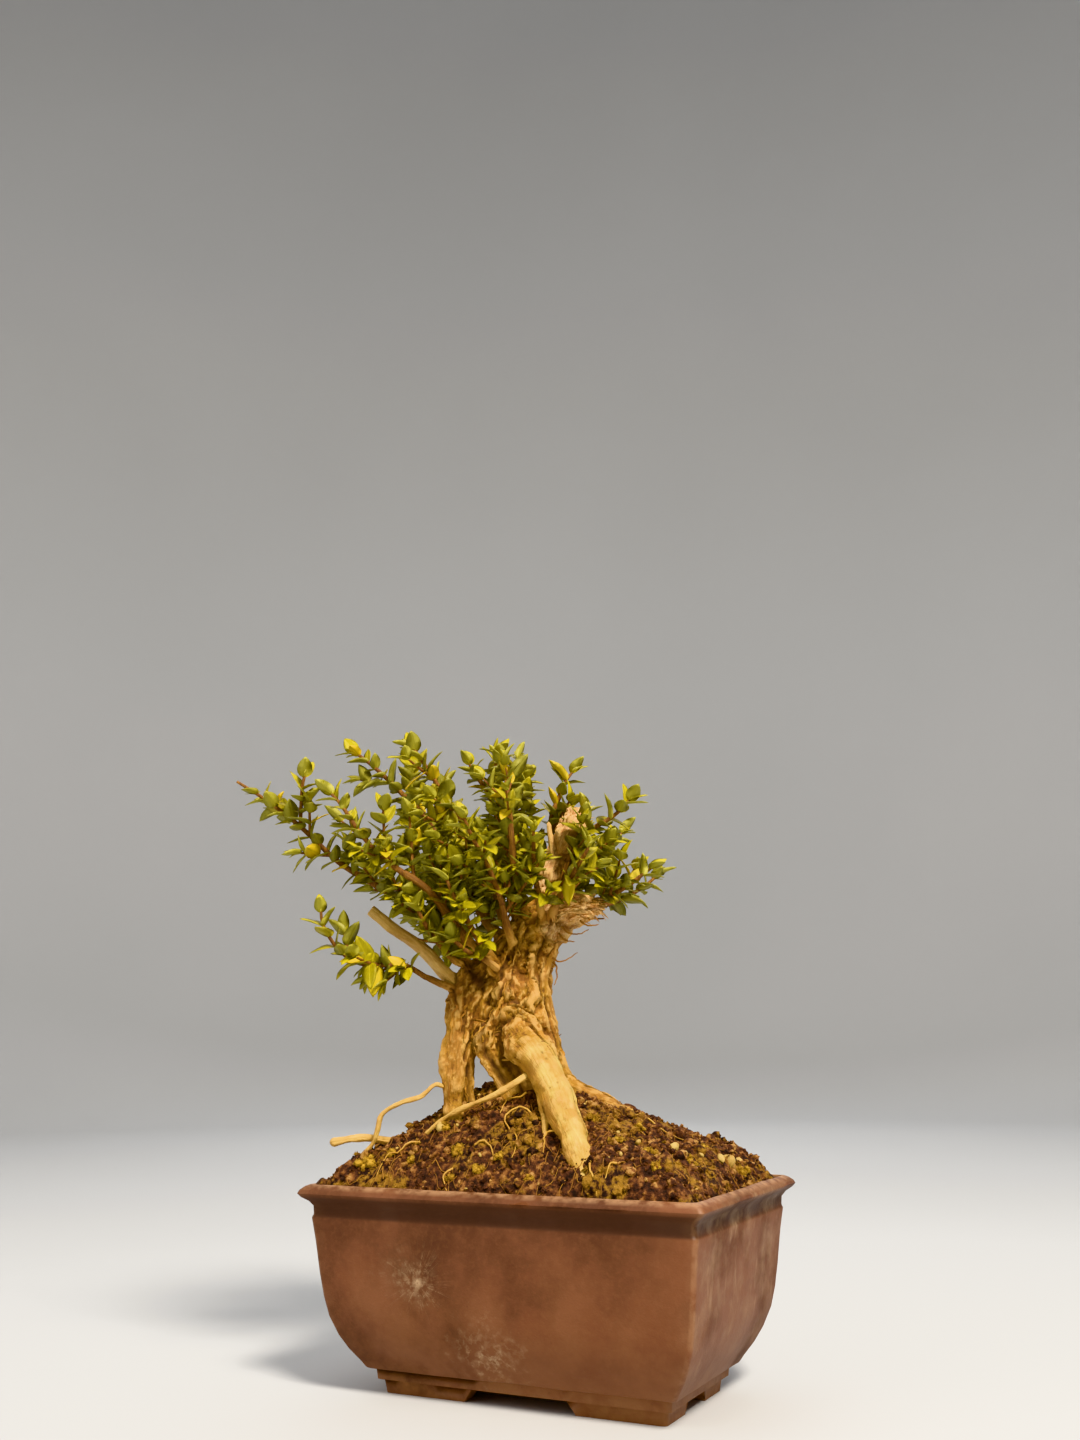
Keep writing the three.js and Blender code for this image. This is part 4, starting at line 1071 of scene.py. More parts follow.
@dataclass
class TrainingPot:
    """The rectangular pot: flared walls under a lip, four corner feet and two drain holes."""

    length: float = 155.0
    depth: float = 100.0
    foot_height: float = 4.8
    floor_top: float = 10.5
    drain_radius: float = 6.0
    drain_x: float = 27.0
    recess_inset: float = 29.5
    front_gap: tuple[float, float] = (44.0, 36.0)
    side_gap: tuple[float, float] = (20.0, 14.0)
    row_height: float = 3.6
    outer_corner: float = 1.8
    inner_corner: float = 2.2
    # Edges that turn by more than this, in degrees, are rounded.
    bevel_turn: float = 38.0
    bevel_width: float = 0.45
    # How far each outer ring lies inside the rim, and its height.
    outside: tuple[tuple[float, float], ...] = (
        (23.9, 0), (23.2, 4.4), (21.4, 4.8), (21, 8.4), (18.9, 8.7), (18.4, 8.9), (18, 9.4), (16.9, 11.2),
        (13.9, 15.4), (11.2, 20.3), (8.7, 26.8), (7.3, 33.6), (6.2, 41.4), (4.9, 53), (3.9, 60.2),
        (4, 60.7), (4.25, 61.2), (4.35, 61.8), (4.2, 64.4), (2.9, 66.2), (0.9, 67.6), (0, 68.8),
        (0.5, 69.9), (1.8, 71), (3.1, 71.6),
    )
    inside: tuple[tuple[float, float], ...] = (
        (3.9, 71.6), (4.2, 70.4), (4.3, 67.2), (7.6, 60), (9.8, 41.4), (12.3, 26.8), (15.4, 19.6),
        (18.6, 15.2), (24, 11.2), (27, 10.5),
    )

    def ring(
        self, inset: float, z: float, radius: float, corner: int = 8, sides: tuple[int, int] = (34, 22)
    ) -> Array:
        """A ring at an inset from the rim.

        Args:
            inset: how far inside the rim's outline it lies.
            z: its height.
            radius: its corners' radius.
            corner: how many spans each corner has.
            sides: how many spans a long side and a short side have.

        Returns:
            Its points.
        """
        flat = rounded_outline(self.length / 2 - inset, self.depth / 2 - inset, radius, corner, sides)
        return np.column_stack([flat, np.full(len(flat), z)])

    def rows(self, profile: Sequence[tuple[float, float]]) -> list[tuple[float, float]]:
        """A profile with more rows where its spans are tall."""
        made = [profile[0]]
        for (inset, z), (next_inset, next_z) in zip(profile, profile[1:]):
            steps = max(round(abs(next_z - z) / self.row_height), 1)
            for k in range(1, steps + 1):
                made.append((inset + (next_inset - inset) * k / steps, z + (next_z - z) * k / steps))
        return made

    def cutter(self, name: str, ends: Sequence[Array]) -> Object:
        """A helper solid between two rings."""
        draft = Draft()
        add_loft(draft, ends)
        return draft.build(name)

    def foot_gap(self, gap: tuple[float, float], turned: bool) -> Object:
        """The open stretch between two feet, with slanted ends."""
        wide, narrow, top = gap[0] / 2, gap[1] / 2, self.foot_height
        corners = [(-wide, -1.0), (-narrow, top), (narrow, top), (wide, -1.0)]
        ends = [np.array([(-y, x, z) if turned else (x, y, z) for x, z in corners]) for y in (-90.0, 90.0)]
        return self.cutter("foot_gap", ends)

    def build(self, finishes: Finishes) -> Object:
        """The pot as a dressed piece."""
        outer = [self.ring(inset, z, self.outer_corner) for inset, z in self.rows(self.outside)]
        inner = [self.ring(inset, z, self.inner_corner) for inset, z in self.rows(self.inside)]
        draft = Draft()
        add_loft(draft, [*outer, *inner])
        pot = draft.build("pot_body", [finishes.clay])
        angles = [i * math.pi / 16 for i in range(32)]
        circle = [(self.drain_radius * math.cos(a), self.drain_radius * math.sin(a)) for a in angles]
        cutters = [
            self.cutter("recess", [self.ring(self.recess_inset, z, 3.0) for z in (-1.0, self.foot_height)]),
            self.foot_gap(self.front_gap, turned=False),
            self.foot_gap(self.side_gap, turned=True),
        ]
        for x in (-self.drain_x, self.drain_x):
            ends = (self.foot_height - 2, self.floor_top + 2)
            rings = [np.array([(x + cx, cy, z) for cx, cy in circle]) for z in ends]
            cutters.append(self.cutter("drain", rings))
        for cutter in cutters:
            modify(pot, "BOOLEAN", operation="DIFFERENCE", solver="EXACT", object=cutter)
        sharp, wide = math.radians(self.bevel_turn), self.bevel_width * MM
        modify(pot, "BEVEL", width=wide, segments=2, limit_method="ANGLE", angle_limit=sharp)
        apply_modifiers(pot)
        for cutter in cutters:
            remove(cutter)
        self.weather(pot)
        return hand_over(pot, "clay", "pot")

    def weather(self, pot: Object) -> None:
        """Makes the walls slightly uneven and marks where the edges are worn, and the rim's top edge, whose
        lighter colour is partly wear and partly a painted highlight.
        """
        points, _, outward = arrays_of(pot)
        uneven = ripple(points / 34, 3) * 0.22 + ripple(points / 9, 2) * 0.05
        flat = (points[:, 2] > 5.2) | (points[:, 2] < 4.4)
        points += outward * (uneven * flat * smoothstep(points[:, 2], 0.0, 4.0))[:, None]
        pot.data.vertices.foreach_set("co", (points * MM + POT_AXIS).astype(np.float32).ravel())
        end, side = self.length / 2 - abs(points[:, 0]), self.depth / 2 - abs(points[:, 1])
        # The rim's top edge: partly wear, partly a painted highlight.
        rim = smoothstep(points[:, 2], 70.2, 71.3) * 0.95
        corner_reach = np.minimum(end, 40) + np.minimum(side, 40)
        corner = 1 - smoothstep(corner_reach - 2 * np.maximum(np.minimum(end, side), 0), 0.8, 2.4)
        foot = 1 - smoothstep(points[:, 2], 0.2, 1.6)
        wear = np.clip(np.maximum(np.maximum(rim, corner * 0.35), foot * 0.4), 0, 1)
        mark_points(pot.data, "wear", wear)
        pot.data.update()


@dataclass
class DrainMeshes:
    """The two squares of drainage mesh under the soil, whose solids stay as they are."""

    nodes: tuple[str, ...] = ("drain_mesh_left", "drain_mesh_right")

    def dress(self, finishes: Finishes) -> None:
        """Gives them their material."""
        for name in self.nodes:
            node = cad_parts[name]
            node.data.materials.clear()
            node.data.materials.append(finishes.mesh)
            LOG.info("%s: dressed", name)


# Soil.


@dataclass
class SoilMound:
    """The soil that fills the pot and is heaped round the plant."""

    pot: TrainingPot
    edge_height: float = 68.0
    rise: float = 38.0
    half: tuple[float, float] = (73.0, 45.5)
    peak: tuple[float, float] = (-14.0, 0.0)
    around: tuple[int, int] = (140, 92)
    bands: int = 92

    def __post_init__(self) -> None:
        """Works out the edge that every ring of the mound starts from."""
        self.edge = self.ring(4.2 + GAP, self.edge_height)

    def ring(self, inset: float, z: float) -> Array:
        """A ring of the soil at an inset from the pot's rim."""
        return self.pot.ring(inset, z, self.pot.inner_corner, 4, self.around)

    def smooth_at(self, edge: Array, share: Array | float) -> Array:
        """Points of the even mound, a share of the way from points of its edge to its peak."""
        share = np.broadcast_to(np.asarray(share, float), (len(edge),))
        oval = 1 / np.hypot(edge[:, 0] / self.half[0], edge[:, 1] / self.half[1])
        inward = 1 + (oval - 1) * 0.9 * smoothstep(share, 0.1, 0.5)
        x = edge[:, 0] * inward * (1 - share) + self.peak[0] * share
        y = edge[:, 1] * inward * (1 - share) + self.peak[1] * share
        bank = 3 + 5 * smoothstep(x, 10, 60)
        rise = bank * (1 - np.exp(-share / 0.06)) + (self.rise - bank) * np.sin(share * math.pi / 2)
        return np.column_stack([x, y, self.edge_height + rise])

    def clumpy(self, points: Array, share: Array | float) -> tuple[Array, Array]:
        """The same points raised and sunk by clods and crumbs, and how dry and light each place is, darker in
        the hollows between clods as painted shade.
        """
        bend = drift(points, 5.0, (0, 17, 34)) * 1.6
        large, tone = cobbles(points + bend, 5.2)
        small, speck = cobbles(points + bend * 0.5, 2.3)
        heap = 3.6 * np.exp(-(((points - planted((12.5, -52, 0)))[:, :2] / 5.5) ** 2).sum(axis=1))
        rise = heap + ripple(points / 14.0, 2) * 1.6 + (large - 0.6) * 2.3 + (small - 0.6) * 1.25
        rise += ripple(points / 1.2 + 5, 2) * 0.3
        fade = smoothstep(share, 0.0, 0.05) * 0.85 + 0.15
        # Lighter on the clods' tops and darker between them: partly drier tops, partly painted shade in the
        # hollows.
        kind = (0.25 + 0.4 * tone + 0.35 * speck) * (0.15 + 0.85 * large) * (0.2 + 0.8 * small)
        return points + UP * (rise * fade)[:, None], kind

    def build(self, finishes: Finishes) -> Object:
        """The mound as a dressed piece, which also becomes the ground that loose things lie on."""
        shares = np.linspace(0, 0.985, self.bands) ** 0.92
        made = [self.clumpy(self.smooth_at(self.edge, share), share) for share in shares]
        below = []
        for inset, z in [(27, 12.2), (18.6, 15.2), (12.3, 26.8), (9.8, 41.4), (7.6, 60)]:
            below.append(self.ring(inset + GAP, float(z)))
        draft = Draft(("kind",))
        dark = np.zeros(len(below) * len(self.edge))
        kinds = np.concatenate([dark, *(kind for _, kind in made), np.zeros(2)])
        add_loft(draft, [*below, *(ring for ring, _ in made)], kind=kinds)
        mound = draft.build("soil_mound", [finishes.soil])
        points, faces, _ = arrays_of(mound)
        self.ground = BVHTree.FromPolygons(points.tolist(), faces)
        return hand_over(mound, "soil", "soil")

    def drop(self, x: float, y: float) -> tuple[Array, Array] | None:
        """Where a thing dropped at x and y, in the pot's frame, comes to lie, and which way is out there."""
        point, outward, _, _ = self.ground.ray_cast(Vector((x, y, 200.0)), Vector((0, 0, -1)))
        if point is None or point.z < self.edge_height - 2:
            return None
        return np.array(point), np.array(outward)

    def scatter(self, count: int, seed: int) -> list[tuple[Array, Array]]:
        """Places strewn evenly over the mound."""
        rng = np.random.default_rng(seed)
        places = []
        while len(places) < count:
            x, y = rng.uniform(-72.5, 72.5), rng.uniform(-45, 45)
            found = self.drop(x, y)
            if found is not None:
                places.append(found)
        return places


def cobbles(points: Array, pitch: float) -> tuple[Array, Array]:
    """Rounded lumps: how high each point lies on its lump, and a number from 0 to 1 that each lump has."""
    heights, tones = [], []
    for p in (points / pitch).tolist():
        near, centres = noise.voronoi(Vector(p))
        heights.append(1 - min(near[0] / 0.8, 1.0) ** 2)
        tones.append(draw(centres[0].x + 3 * centres[0].y + 7 * centres[0].z))
    return np.array(heights), np.array(tones)


def lump(level: int) -> tuple[Array, list[Face]]:
    """A ball of triangles with radius 1: 20 of them at level 0 and 80 at level 1."""
    ratio = (1 + 5**0.5) / 2
    base = [(-1, ratio, 0), (1, ratio, 0), (-1, -ratio, 0), (1, -ratio, 0), (0, -1, ratio), (0, 1, ratio)]
    base += [(0, -1, -ratio), (0, 1, -ratio), (ratio, 0, -1), (ratio, 0, 1), (-ratio, 0, -1), (-ratio, 0, 1)]
    points = [unit(np.array(p, float)) for p in base]
    faces: list[Face] = [
        (0, 11, 5), (0, 5, 1), (0, 1, 7), (0, 7, 10), (0, 10, 11), (1, 5, 9), (5, 11, 4), (11, 10, 2),
        (10, 7, 6), (7, 1, 8), (3, 9, 4), (3, 4, 2), (3, 2, 6), (3, 6, 8), (3, 8, 9), (4, 9, 5), (2, 4, 11),
        (6, 2, 10), (8, 6, 7), (9, 8, 1),
    ]
    for _ in range(level):
        halves: dict[tuple[int, int], int] = {}

        def half(a: int, b: int) -> int:
            """The number of the point between two others."""
            key = (min(a, b), max(a, b))
            if key not in halves:
                halves[key] = len(points)
                points.append(unit(points[a] + points[b]))
            return halves[key]

        split: list[Face] = []
        for a, b, c in faces:
            ab, bc, ca = half(a, b), half(b, c), half(c, a)
            split += [(a, ab, ca), (b, bc, ab), (c, ca, bc), (ab, bc, ca)]
        faces = split
    return np.array(points), faces


def roughened(ball: Array, rng: Rng, amount: float) -> Array:
    """A ball whose points are moved in and out by a share of its radius."""
    return ball * (1 + rng.normal(0, amount, (len(ball), 1)))


def turned(rng: Rng) -> Array:
    """A random rotation."""
    q = rng.normal(size=4)
    w, x, y, z = q / np.linalg.norm(q)
    return np.array([
        [1 - 2 * (y * y + z * z), 2 * (x * y - z * w), 2 * (x * z + y * w)],
        [2 * (x * y + z * w), 1 - 2 * (x * x + z * z), 2 * (y * z - x * w)],
        [2 * (x * z - y * w), 2 * (y * z + x * w), 1 - 2 * (x * x + y * y)],
    ])


@dataclass
class LooseSoil:
    """What lies on the mound: crumbs, clods, moss, grit and fine roots."""

    mound: SoilMound
    crumbs: int = 5200
    clods: int = 620
    moss_cushions: int = 46
    hairs: int = 240
    # Places on the mound in the plant's frame, x and y, with a size.
    pebbles: Route = (
        (62.8, -16.5, 1.9), (62.8, -21.5, 2.1), (59, -27, 1.5), (41.6, -38, 2.3), (45, -37, 1.6),
        (67.5, -12, 1.4), (30, -38, 1.2), (-39.4, -8.6, 2.2), (52, -30, 1.2),
    )
    lumps: Route = (
        (-66, -9.6, 3.4), (-33, -21.5, 2.4), (-17.6, -30.5, 2.2), (-49.5, -15.4, 2), (-24.5, -31, 2.2),
        (46.6, -44, 2.6), (32.9, -48, 2.4), (31.1, -30.1, 2.8), (23.1, -44, 2.2), (-7.2, -41.3, 2),
        (68, -15.5, 2.6), (-57, -10.5, 2.2), (34.9, -60, 2.2), (-35, -28, 2.2), (-38, -9.5, 2),
        (16, -24, 2.6), (54, -22, 2.4),
    )
    # Fine bare roots over the soil in the plant's frame: x, y and height above the mound.
    fine_roots: tuple[Route, ...] = (
        ((-3.3, -25.5, 1.2), (-6.5, -20.5, 1.2), (-10.8, -19.4, 1.8), (-14.8, -19.4, 2.2),
            (-16.1, -21.6, 1.8), (-13.8, -24.7, 1.2), (-11.9, -28.6, 1), (-12.6, -31.5, 0.8),
            (-14.3, -33.8, 0.2)),
        ((-47.4, -8.9, 0.4), (-51.5, -10.6, 1.6), (-55, -11.4, 1), (-58.3, -13.2, 1.4),
            (-62.3, -15.2, 0.2)),
        ((-8.6, -16, 4), (-10.8, -15.4, 3), (-15.3, -13.4, 2), (-18, -16, 0.4)),
        ((2.5, -33.5, 2.5), (-0.8, -31.5, 1.6), (-2, -33, 1), (-2.6, -36, 0.2)),
        ((-34.5, -25.6, 0.3), (-37.4, -26.6, 1), (-37, -29, 0.8), (-36, -31, 0.1)),
        ((13, -50, 0.4), (12.6, -53, 1.2), (14, -55, 0.8), (14.6, -57, 0.1)),
        ((-27, -22.8, 0.2), (-23.6, -24.8, 1.4), (-21.2, -27, 1), (-19.7, -29.6, 0.2)),
        ((21.8, -54.5, 0.4), (19.6, -54.2, 1.2), (17.6, -55.6, 0.2)),
        ((24, -9, 0.6), (33, -16, 1), (41, -20, 0.9), (50, -21, 0.3)),
        ((-28, 10, 0.5), (-33, 16, 1.6), (-40, 20, 1.4), (-49, 21, 0.2)),
        ((8, 16, 0.5), (16, 22, 1.4), (22, 30, 1.4), (24, 38, 0.2)),
    )

    def build(self, finishes: Finishes) -> None:
        """Makes each kind of loose thing as one piece."""
        self.build_crumbs("soil_crumbs", self.crumbs, 0, (0.35, 1.05), 11, finishes)
        self.build_crumbs("soil_clods", self.clods, 1, (1.0, 2.3), 23, finishes)
        self.build_moss(finishes)
        self.build_pebbles(finishes)
        self.build_roots(finishes)

    def lying(self, x: float, y: float) -> tuple[Array, Array] | None:
        """Where something dropped at x and y, in the plant's frame, comes to lie."""
        return self.mound.drop(*planted((x, y, 0))[:2])

    def build_crumbs(
        self, name: str, count: int, level: int, sizes: tuple[float, float], seed: int, finishes: Finishes
    ) -> None:
        """One piece of many crumbs.

        Args:
            name: the piece's name.
            count: how many crumbs it has.
            level: how finely each is made.
            sizes: the least and the greatest radius.
            seed: what their places come from.
            finishes: the materials.
        """
        ball, faces = lump(level)
        rng = np.random.default_rng(seed)
        draft = Draft(("kind",))
        for point, outward in self.mound.scatter(count, seed + 1):
            size = sizes[0] + (sizes[1] - sizes[0]) * rng.random() ** 2.2
            shape = roughened(ball, rng, 0.16) * (size * rng.uniform(0.65, 1.2, 3)) @ turned(rng).T
            middle = point + outward * size * rng.uniform(-0.2, 0.4)
            draft.add(middle + shape, faces, kind=rng.random() ** 1.3 * 0.9)
        hand_over(draft.build(name, [finishes.soil], sharp=32.0), "soil")

    def cushion(
        self, draft: Draft, rng: Rng, point: Array, outward: Array, size: float, kind: float
    ) -> None:
        """Adds a rough low tuft of moss: a cluster of lumps that bristle with leaflets."""
        ball, faces = lump(1)
        basis = np.column_stack([*across(outward), outward])
        for _ in range(int(4 + 5 * size)):
            way = rng.normal(size=3) * [0.5, 0.5, 0.22]
            centre = point + basis @ (way * size + [0, 0, 0.15 * size])
            reach = size * rng.uniform(0.28, 0.6)
            tone = min(max(kind + rng.uniform(-0.4, 0.3), 0.0), 1.0)
            shape = roughened(ball, rng, 0.15) @ turned(rng).T
            draft.add(centre + shape * reach, faces, kind=tone)
            for _ in range(int(5 + 9 * reach)):
                lean = unit(rng.normal(size=3) + basis @ [0, 0, 0.7])
                u, v = across(lean)
                long, wide = rng.uniform(0.35, 0.95), rng.uniform(0.14, 0.24)
                foot = centre + lean * reach * 0.9
                low, aside = foot - u * wide * 0.5, v * wide * 0.8
                blade = np.array([foot + u * wide, low + aside, low - aside, foot + lean * long])
                light = min(tone + rng.uniform(0, 0.4), 1.0)
                draft.add(blade, [(0, 1, 3), (1, 2, 3), (2, 0, 3), (0, 2, 1)], kind=light)

    def build_moss(self, finishes: Finishes) -> None:
        """Moss cushions: the ones that stand out, and many small ones."""
        rng = np.random.default_rng(37)
        draft = Draft(("kind",))
        for x, y, size in self.lumps:
            found = self.lying(x, y)
            if found:
                self.cushion(draft, rng, found[0] + found[1] * size * 0.1, found[1], size * 0.8, 0.7)
        for point, outward in self.mound.scatter(self.moss_cushions, 41):
            self.cushion(draft, rng, point, outward, rng.uniform(0.5, 1.2), rng.uniform(0.0, 0.7))
        hand_over(draft.build("moss_cushions", [finishes.moss]), "soil")

    def build_pebbles(self, finishes: Finishes) -> None:
        """Pale grit, half sunk in the soil."""
        ball, faces = lump(2)
        rng = np.random.default_rng(53)
        draft = Draft()
        places = [(self.lying(x, y), size) for x, y, size in self.pebbles]
        places += [(found, rng.uniform(0.4, 0.85)) for found in self.mound.scatter(40, 59)]
        for found, size in places:
            if not found:
                continue
            stretch = np.array([rng.uniform(0.9, 1.25), rng.uniform(0.75, 1.0), rng.uniform(0.6, 0.8)])
            shape = ball * (1 + 0.13 * ripple(ball * 1.3 + rng.uniform(0, 50), 2)[:, None])
            draft.add(found[0] + found[1] * size * 0.35 + (shape * stretch * size) @ turned(rng).T, faces)
        hand_over(draft.build("grit", [finishes.pebble]), "soil")

    def build_roots(self, finishes: Finishes) -> None:
        """Fine bare roots that curl over the soil."""
        rng = np.random.default_rng(67)
        draft = Draft(("pale", "fissure", "torn", "thin", "crest"))
        for route in self.fine_roots:
            found = [(self.lying(x, y), lift) for x, y, lift in route]
            points = np.array([place[0] + UP * lift for place, lift in found if place])
            stem = Stem(points, np.linspace(0.44, 0.16, len(points))).smoothed(7)
            stem.points += drift(stem.points, 2.2) * 0.35
            add_tube(draft, stem, 7, pale=0.7)
        for point, _ in self.mound.scatter(self.hairs, 71):
            self.add_hair(draft, rng, point)
        hand_over(draft.build("fine_roots", [finishes.bark]), "bark")

    def add_hair(self, draft: Draft, rng: Rng, point: Array) -> None:
        """One thin root that wanders over the soil from a point."""
        heading = rng.uniform(0, 2 * math.pi)
        places = []
        x, y = point[0], point[1]
        for _ in range(int(rng.integers(6, 16))):
            found = self.mound.drop(x, y)
            if not found:
                break
            places.append(found[0] + UP * rng.uniform(0.05, 0.7))
            heading += rng.normal(0, 0.55)
            x += 1.3 * math.cos(heading)
            y += 1.3 * math.sin(heading)
        if len(places) < 4:
            return
        radii = np.linspace(rng.uniform(0.12, 0.24), 0.08, len(places))
        pale = 0.6 * rng.random() ** 2
        add_tube(draft, Stem(np.array(places), radii).smoothed(3), 5, pale=pale, thin=0.9 - pale)


# Trunk.


@dataclass(frozen=True)
class Skin:
    """How bark lies on the wood.

    Its relief's depth, width and length and its slow swelling are in
    millimetres. The rest say how far it breaks into plates and is pale, torn
    or a thin twig's.
    """

    depth: float
    width: float
    reach: float
    swell: float
    plates: float = 0.0
    pale: float = 0.0
    torn: float = 0.0
    thin: float = 0.0


class Bark(Enum):
    """The kinds of bark on this plant."""

    ROUGH = Skin(0.95, 4.6, 16.0, 1.5, plates=1.0)
    WORN = Skin(0.45, 4.6, 22.0, 0.9, plates=0.2, pale=0.28)
    SMOOTH = Skin(0.26, 5.5, 28.0, 0.7, pale=1.0)
    RUSTY = Skin(0.5, 3.0, 9.0, 0.8, plates=0.3, pale=0.15)
    ROOT = Skin(0.16, 2.2, 10.0, 0.22, pale=0.85)
    DEAD = Skin(1.2, 3.4, 7.0, 1.3, torn=1.0)
    STUB = Skin(0.12, 2.4, 14.0, 0.15, pale=2.2, torn=0.5)
    TWIG = Skin(0.14, 1.8, 8.0, 0.15, thin=0.9)


BARK_OF = {
    Bark.ROUGH: "column left_web inner_curve middle_band left_band",
    Bark.WORN: "left_leg middle_leg right_band broken_stub back_band back_fork",
    Bark.SMOOTH: "big_leg shin_fold leg_cleft",
    Bark.RUSTY: "right_root right_flare inner_shin left_rear",
    Bark.ROOT: "slanted_root arched_root stick_root pale_root",
    Bark.DEAD: "torn_knob dead_top knob_shelf dead_cap",
    Bark.STUB: "cut_stub dead_stick",
}
MEMBER_BARK = {name: bark for bark, names in BARK_OF.items() for name in names.split()}
# Where rough bark gives way to a member's own, as distances from the member's start.
FADES = {
    "big_leg": (15.0, 26.0), "left_leg": (14.0, 38.0), "middle_leg": (12.0, 30.0), "shin_fold": (13.0, 22.0)
}


# Lines over the old wood, in the plant's frame: width, how far it is raised or sunk, how dark it gets there
# (dark cracks, and painted shade in hollows), how cream it gets there (a painted highlight along ridges), and
# the route.
CARVINGS = (
    (1, -1.9, 1, 0, ((-1.2, -7.6, 158.1), (-2.7, -8, 154.3), (-3.9, -8, 149.9), (-4.3, -7.8, 146.3),
        (-3.6, -6.7, 141.5), (-2.5, -5.7, 137.9), (-1.1, -5.5, 134.2), (-0.2, -4.9, 130.8))),
    (1.5, 1.3, 0, 0.7, ((-6.1, -7.8, 151.8), (-5.4, -7.9, 148.5), (-5, -8.1, 145.2), (-4.7, -8.3, 140.8),
        (-5.5, -8.5, 136), (-8.1, -8.7, 133.5))),
    (1.6, 1.7, 0, 0.55, ((-18.1, -9.5, 130), (-16.6, -9.8, 131.8), (-14.7, -10.1, 132.9),
        (-12.9, -9.5, 133.6), (-10.7, -8.7, 134.3))),
    (1, -1.5, 0.9, 0, ((-17.6, -10.3, 127.6), (-14.6, -12, 129.3), (-12, -11.6, 130.2),
        (-9.6, -11.3, 130.6))),
    (1.5, -2.2, 1, 0, ((-18.1, -9.8, 136.9), (-16.9, -9.4, 139.8), (-15.5, -9, 141.6))),
    (1.2, -1.6, 1, 0, ((-13.6, -9, 135.8), (-11.8, -8.7, 134.7))),
    (0.8, 1.2, 0, 1, ((-15.5, -9.4, 136.1), (-14, -8.9, 138.6))),
    (0.8, 1.1, 0, 1, ((-10.7, -8.6, 136.8), (-9.2, -8.4, 139))),
    (0.9, -1.8, 1, 0, ((-12.9, -8.1, 146), (-12.7, -8.1, 146.1))),
    (3.4, -3.2, 0.95, 0, ((-29.3, -7, 147.6), (-27.4, -7.1, 145.3), (-25.2, -6.1, 142.6))),
    (1.2, -1.4, 0.7, 0, ((-20.4, -5.8, 138.1), (-23, -6.4, 135.2))),
    (1.1, -1.9, 0.9, 0, ((-19.2, -9, 135.1), (-22.2, -7.4, 131.9), (-25.2, -6.9, 127.6), (-27.9, -5.6, 124),
        (-30, -7.3, 120.4), (-30.4, -7.6, 115))),
    (1.5, 0.9, 0, 0.25, ((-20.5, -9, 131.5), (-23.6, -8.5, 127.5), (-26.2, -8, 122.5),
        (-28.5, -8, 117.5))),
    (1.6, -1, 0.8, 0, ((-24.1, -7.2, 128.6), (-24.8, -7.6, 121.8), (-23, -8.4, 116), (-19.6, -9.1, 111),
        (-16.7, -9.7, 106.8))),
    (1.3, -1.6, 0.9, 0, ((-18.1, -8.6, 125.3), (-18.2, -6.1, 119.9), (-15.3, -7.8, 114.5),
        (-10.9, -7.7, 110.2))),
    (0.8, -1.3, 0.9, 0, ((-15.1, -8.5, 151.5), (-16.9, -9.1, 147.8), (-18, -9.1, 144.2),
        (-19.2, -7, 141.3))),
    (0.8, -1.2, 0.8, 0, ((-7.5, -7.4, 161.8), (-10.5, -7.9, 158.1), (-12.8, -9.6, 154.4),
        (-14.7, -8.4, 151.9))),
    (0.7, -0.9, 0.7, 0, ((-10.2, -7.7, 156.7), (-10.2, -7.5, 152.6), (-11.7, -7.7, 148.9))),
    (1, -1.2, 0.8, 0, ((-1.2, -7.6, 158.1), (0.4, -6.6, 161.8), (1.5, -8.8, 164.6))),
    (0.8, -0.9, 0.5, 0, ((-36, -7.1, 140), (-34.5, -7.4, 135.6), (-32.2, -8.7, 131.2))),
    (0.9, -1.2, 0.6, 0, ((-31.9, -6.9, 141.8), (-31, -8.3, 136.3), (-31.6, -8.6, 130.5),
        (-32.3, -8.8, 125.5))),
    (4, 0.9, 0, 0.2, ((-39.5, -5, 119), (-40, -5, 112.5))),
    (2.2, -0.2, 0.72, 0, ((-30.4, -4.5, 112), (-30.4, -4.5, 103), (-29.8, -5, 94), (-29.4, -5, 88))),
    (4, -0.9, 0, 0, ((-38.5, -4, 131), (-38, -4, 127))),
    (0.7, -0.5, 0.9, 0, ((-2.7, -20.8, 117.5), (-2.6, -20.9, 117.4))),
    (0.6, -0.4, 0.9, 0, ((-1.3, -22.3, 115), (-1.2, -22.4, 114.9))),
    (0.6, -0.4, 0.8, 0, ((-13.6, -15.7, 123.1), (-13.5, -15.8, 123))),
    (1.8, 0.5, 0, 1, ((1.7, -3.1, 173.4), (4.5, -7, 171.2), (8.3, -7, 169.8), (12.1, -6.3, 168.5),
        (15.9, -4.9, 167.8))),
    (1.6, -1.3, 0.7, 0, ((4.5, -5.4, 163.7), (6.8, -3.7, 162.7), (9.9, -3.3, 164.2))),
    (1.2, 0, 0, 1, ((-22.9, -10.6, 154.2), (-23.1, -10.8, 154.9))),
)
# Torn fibres that stand off the old wood, in the plant's frame.
FIBRES: tuple[Route, ...] = (
    ((1, -4, 152.4), (3.6, -4.6, 150.2), (7, -5, 150.8), (11, -5, 153.4)),
    ((1.5, -3, 151), (3, -3.6, 148), (3.2, -4, 144.6), (2.2, -4, 141.6)),
    ((5, -5, 163), (8.4, -5.4, 160.6), (12, -5, 160.4), (15.4, -4, 162)),
    ((4, -4, 161), (6.4, -4.6, 158), (9.6, -4.2, 157.4)),
    ((12, -5, 165.6), (15, -5, 163.4), (18.6, -4.6, 163.8)),
    ((-17, -6, 153), (-20.4, -11, 156.4), (-15, -13, 161)),
)


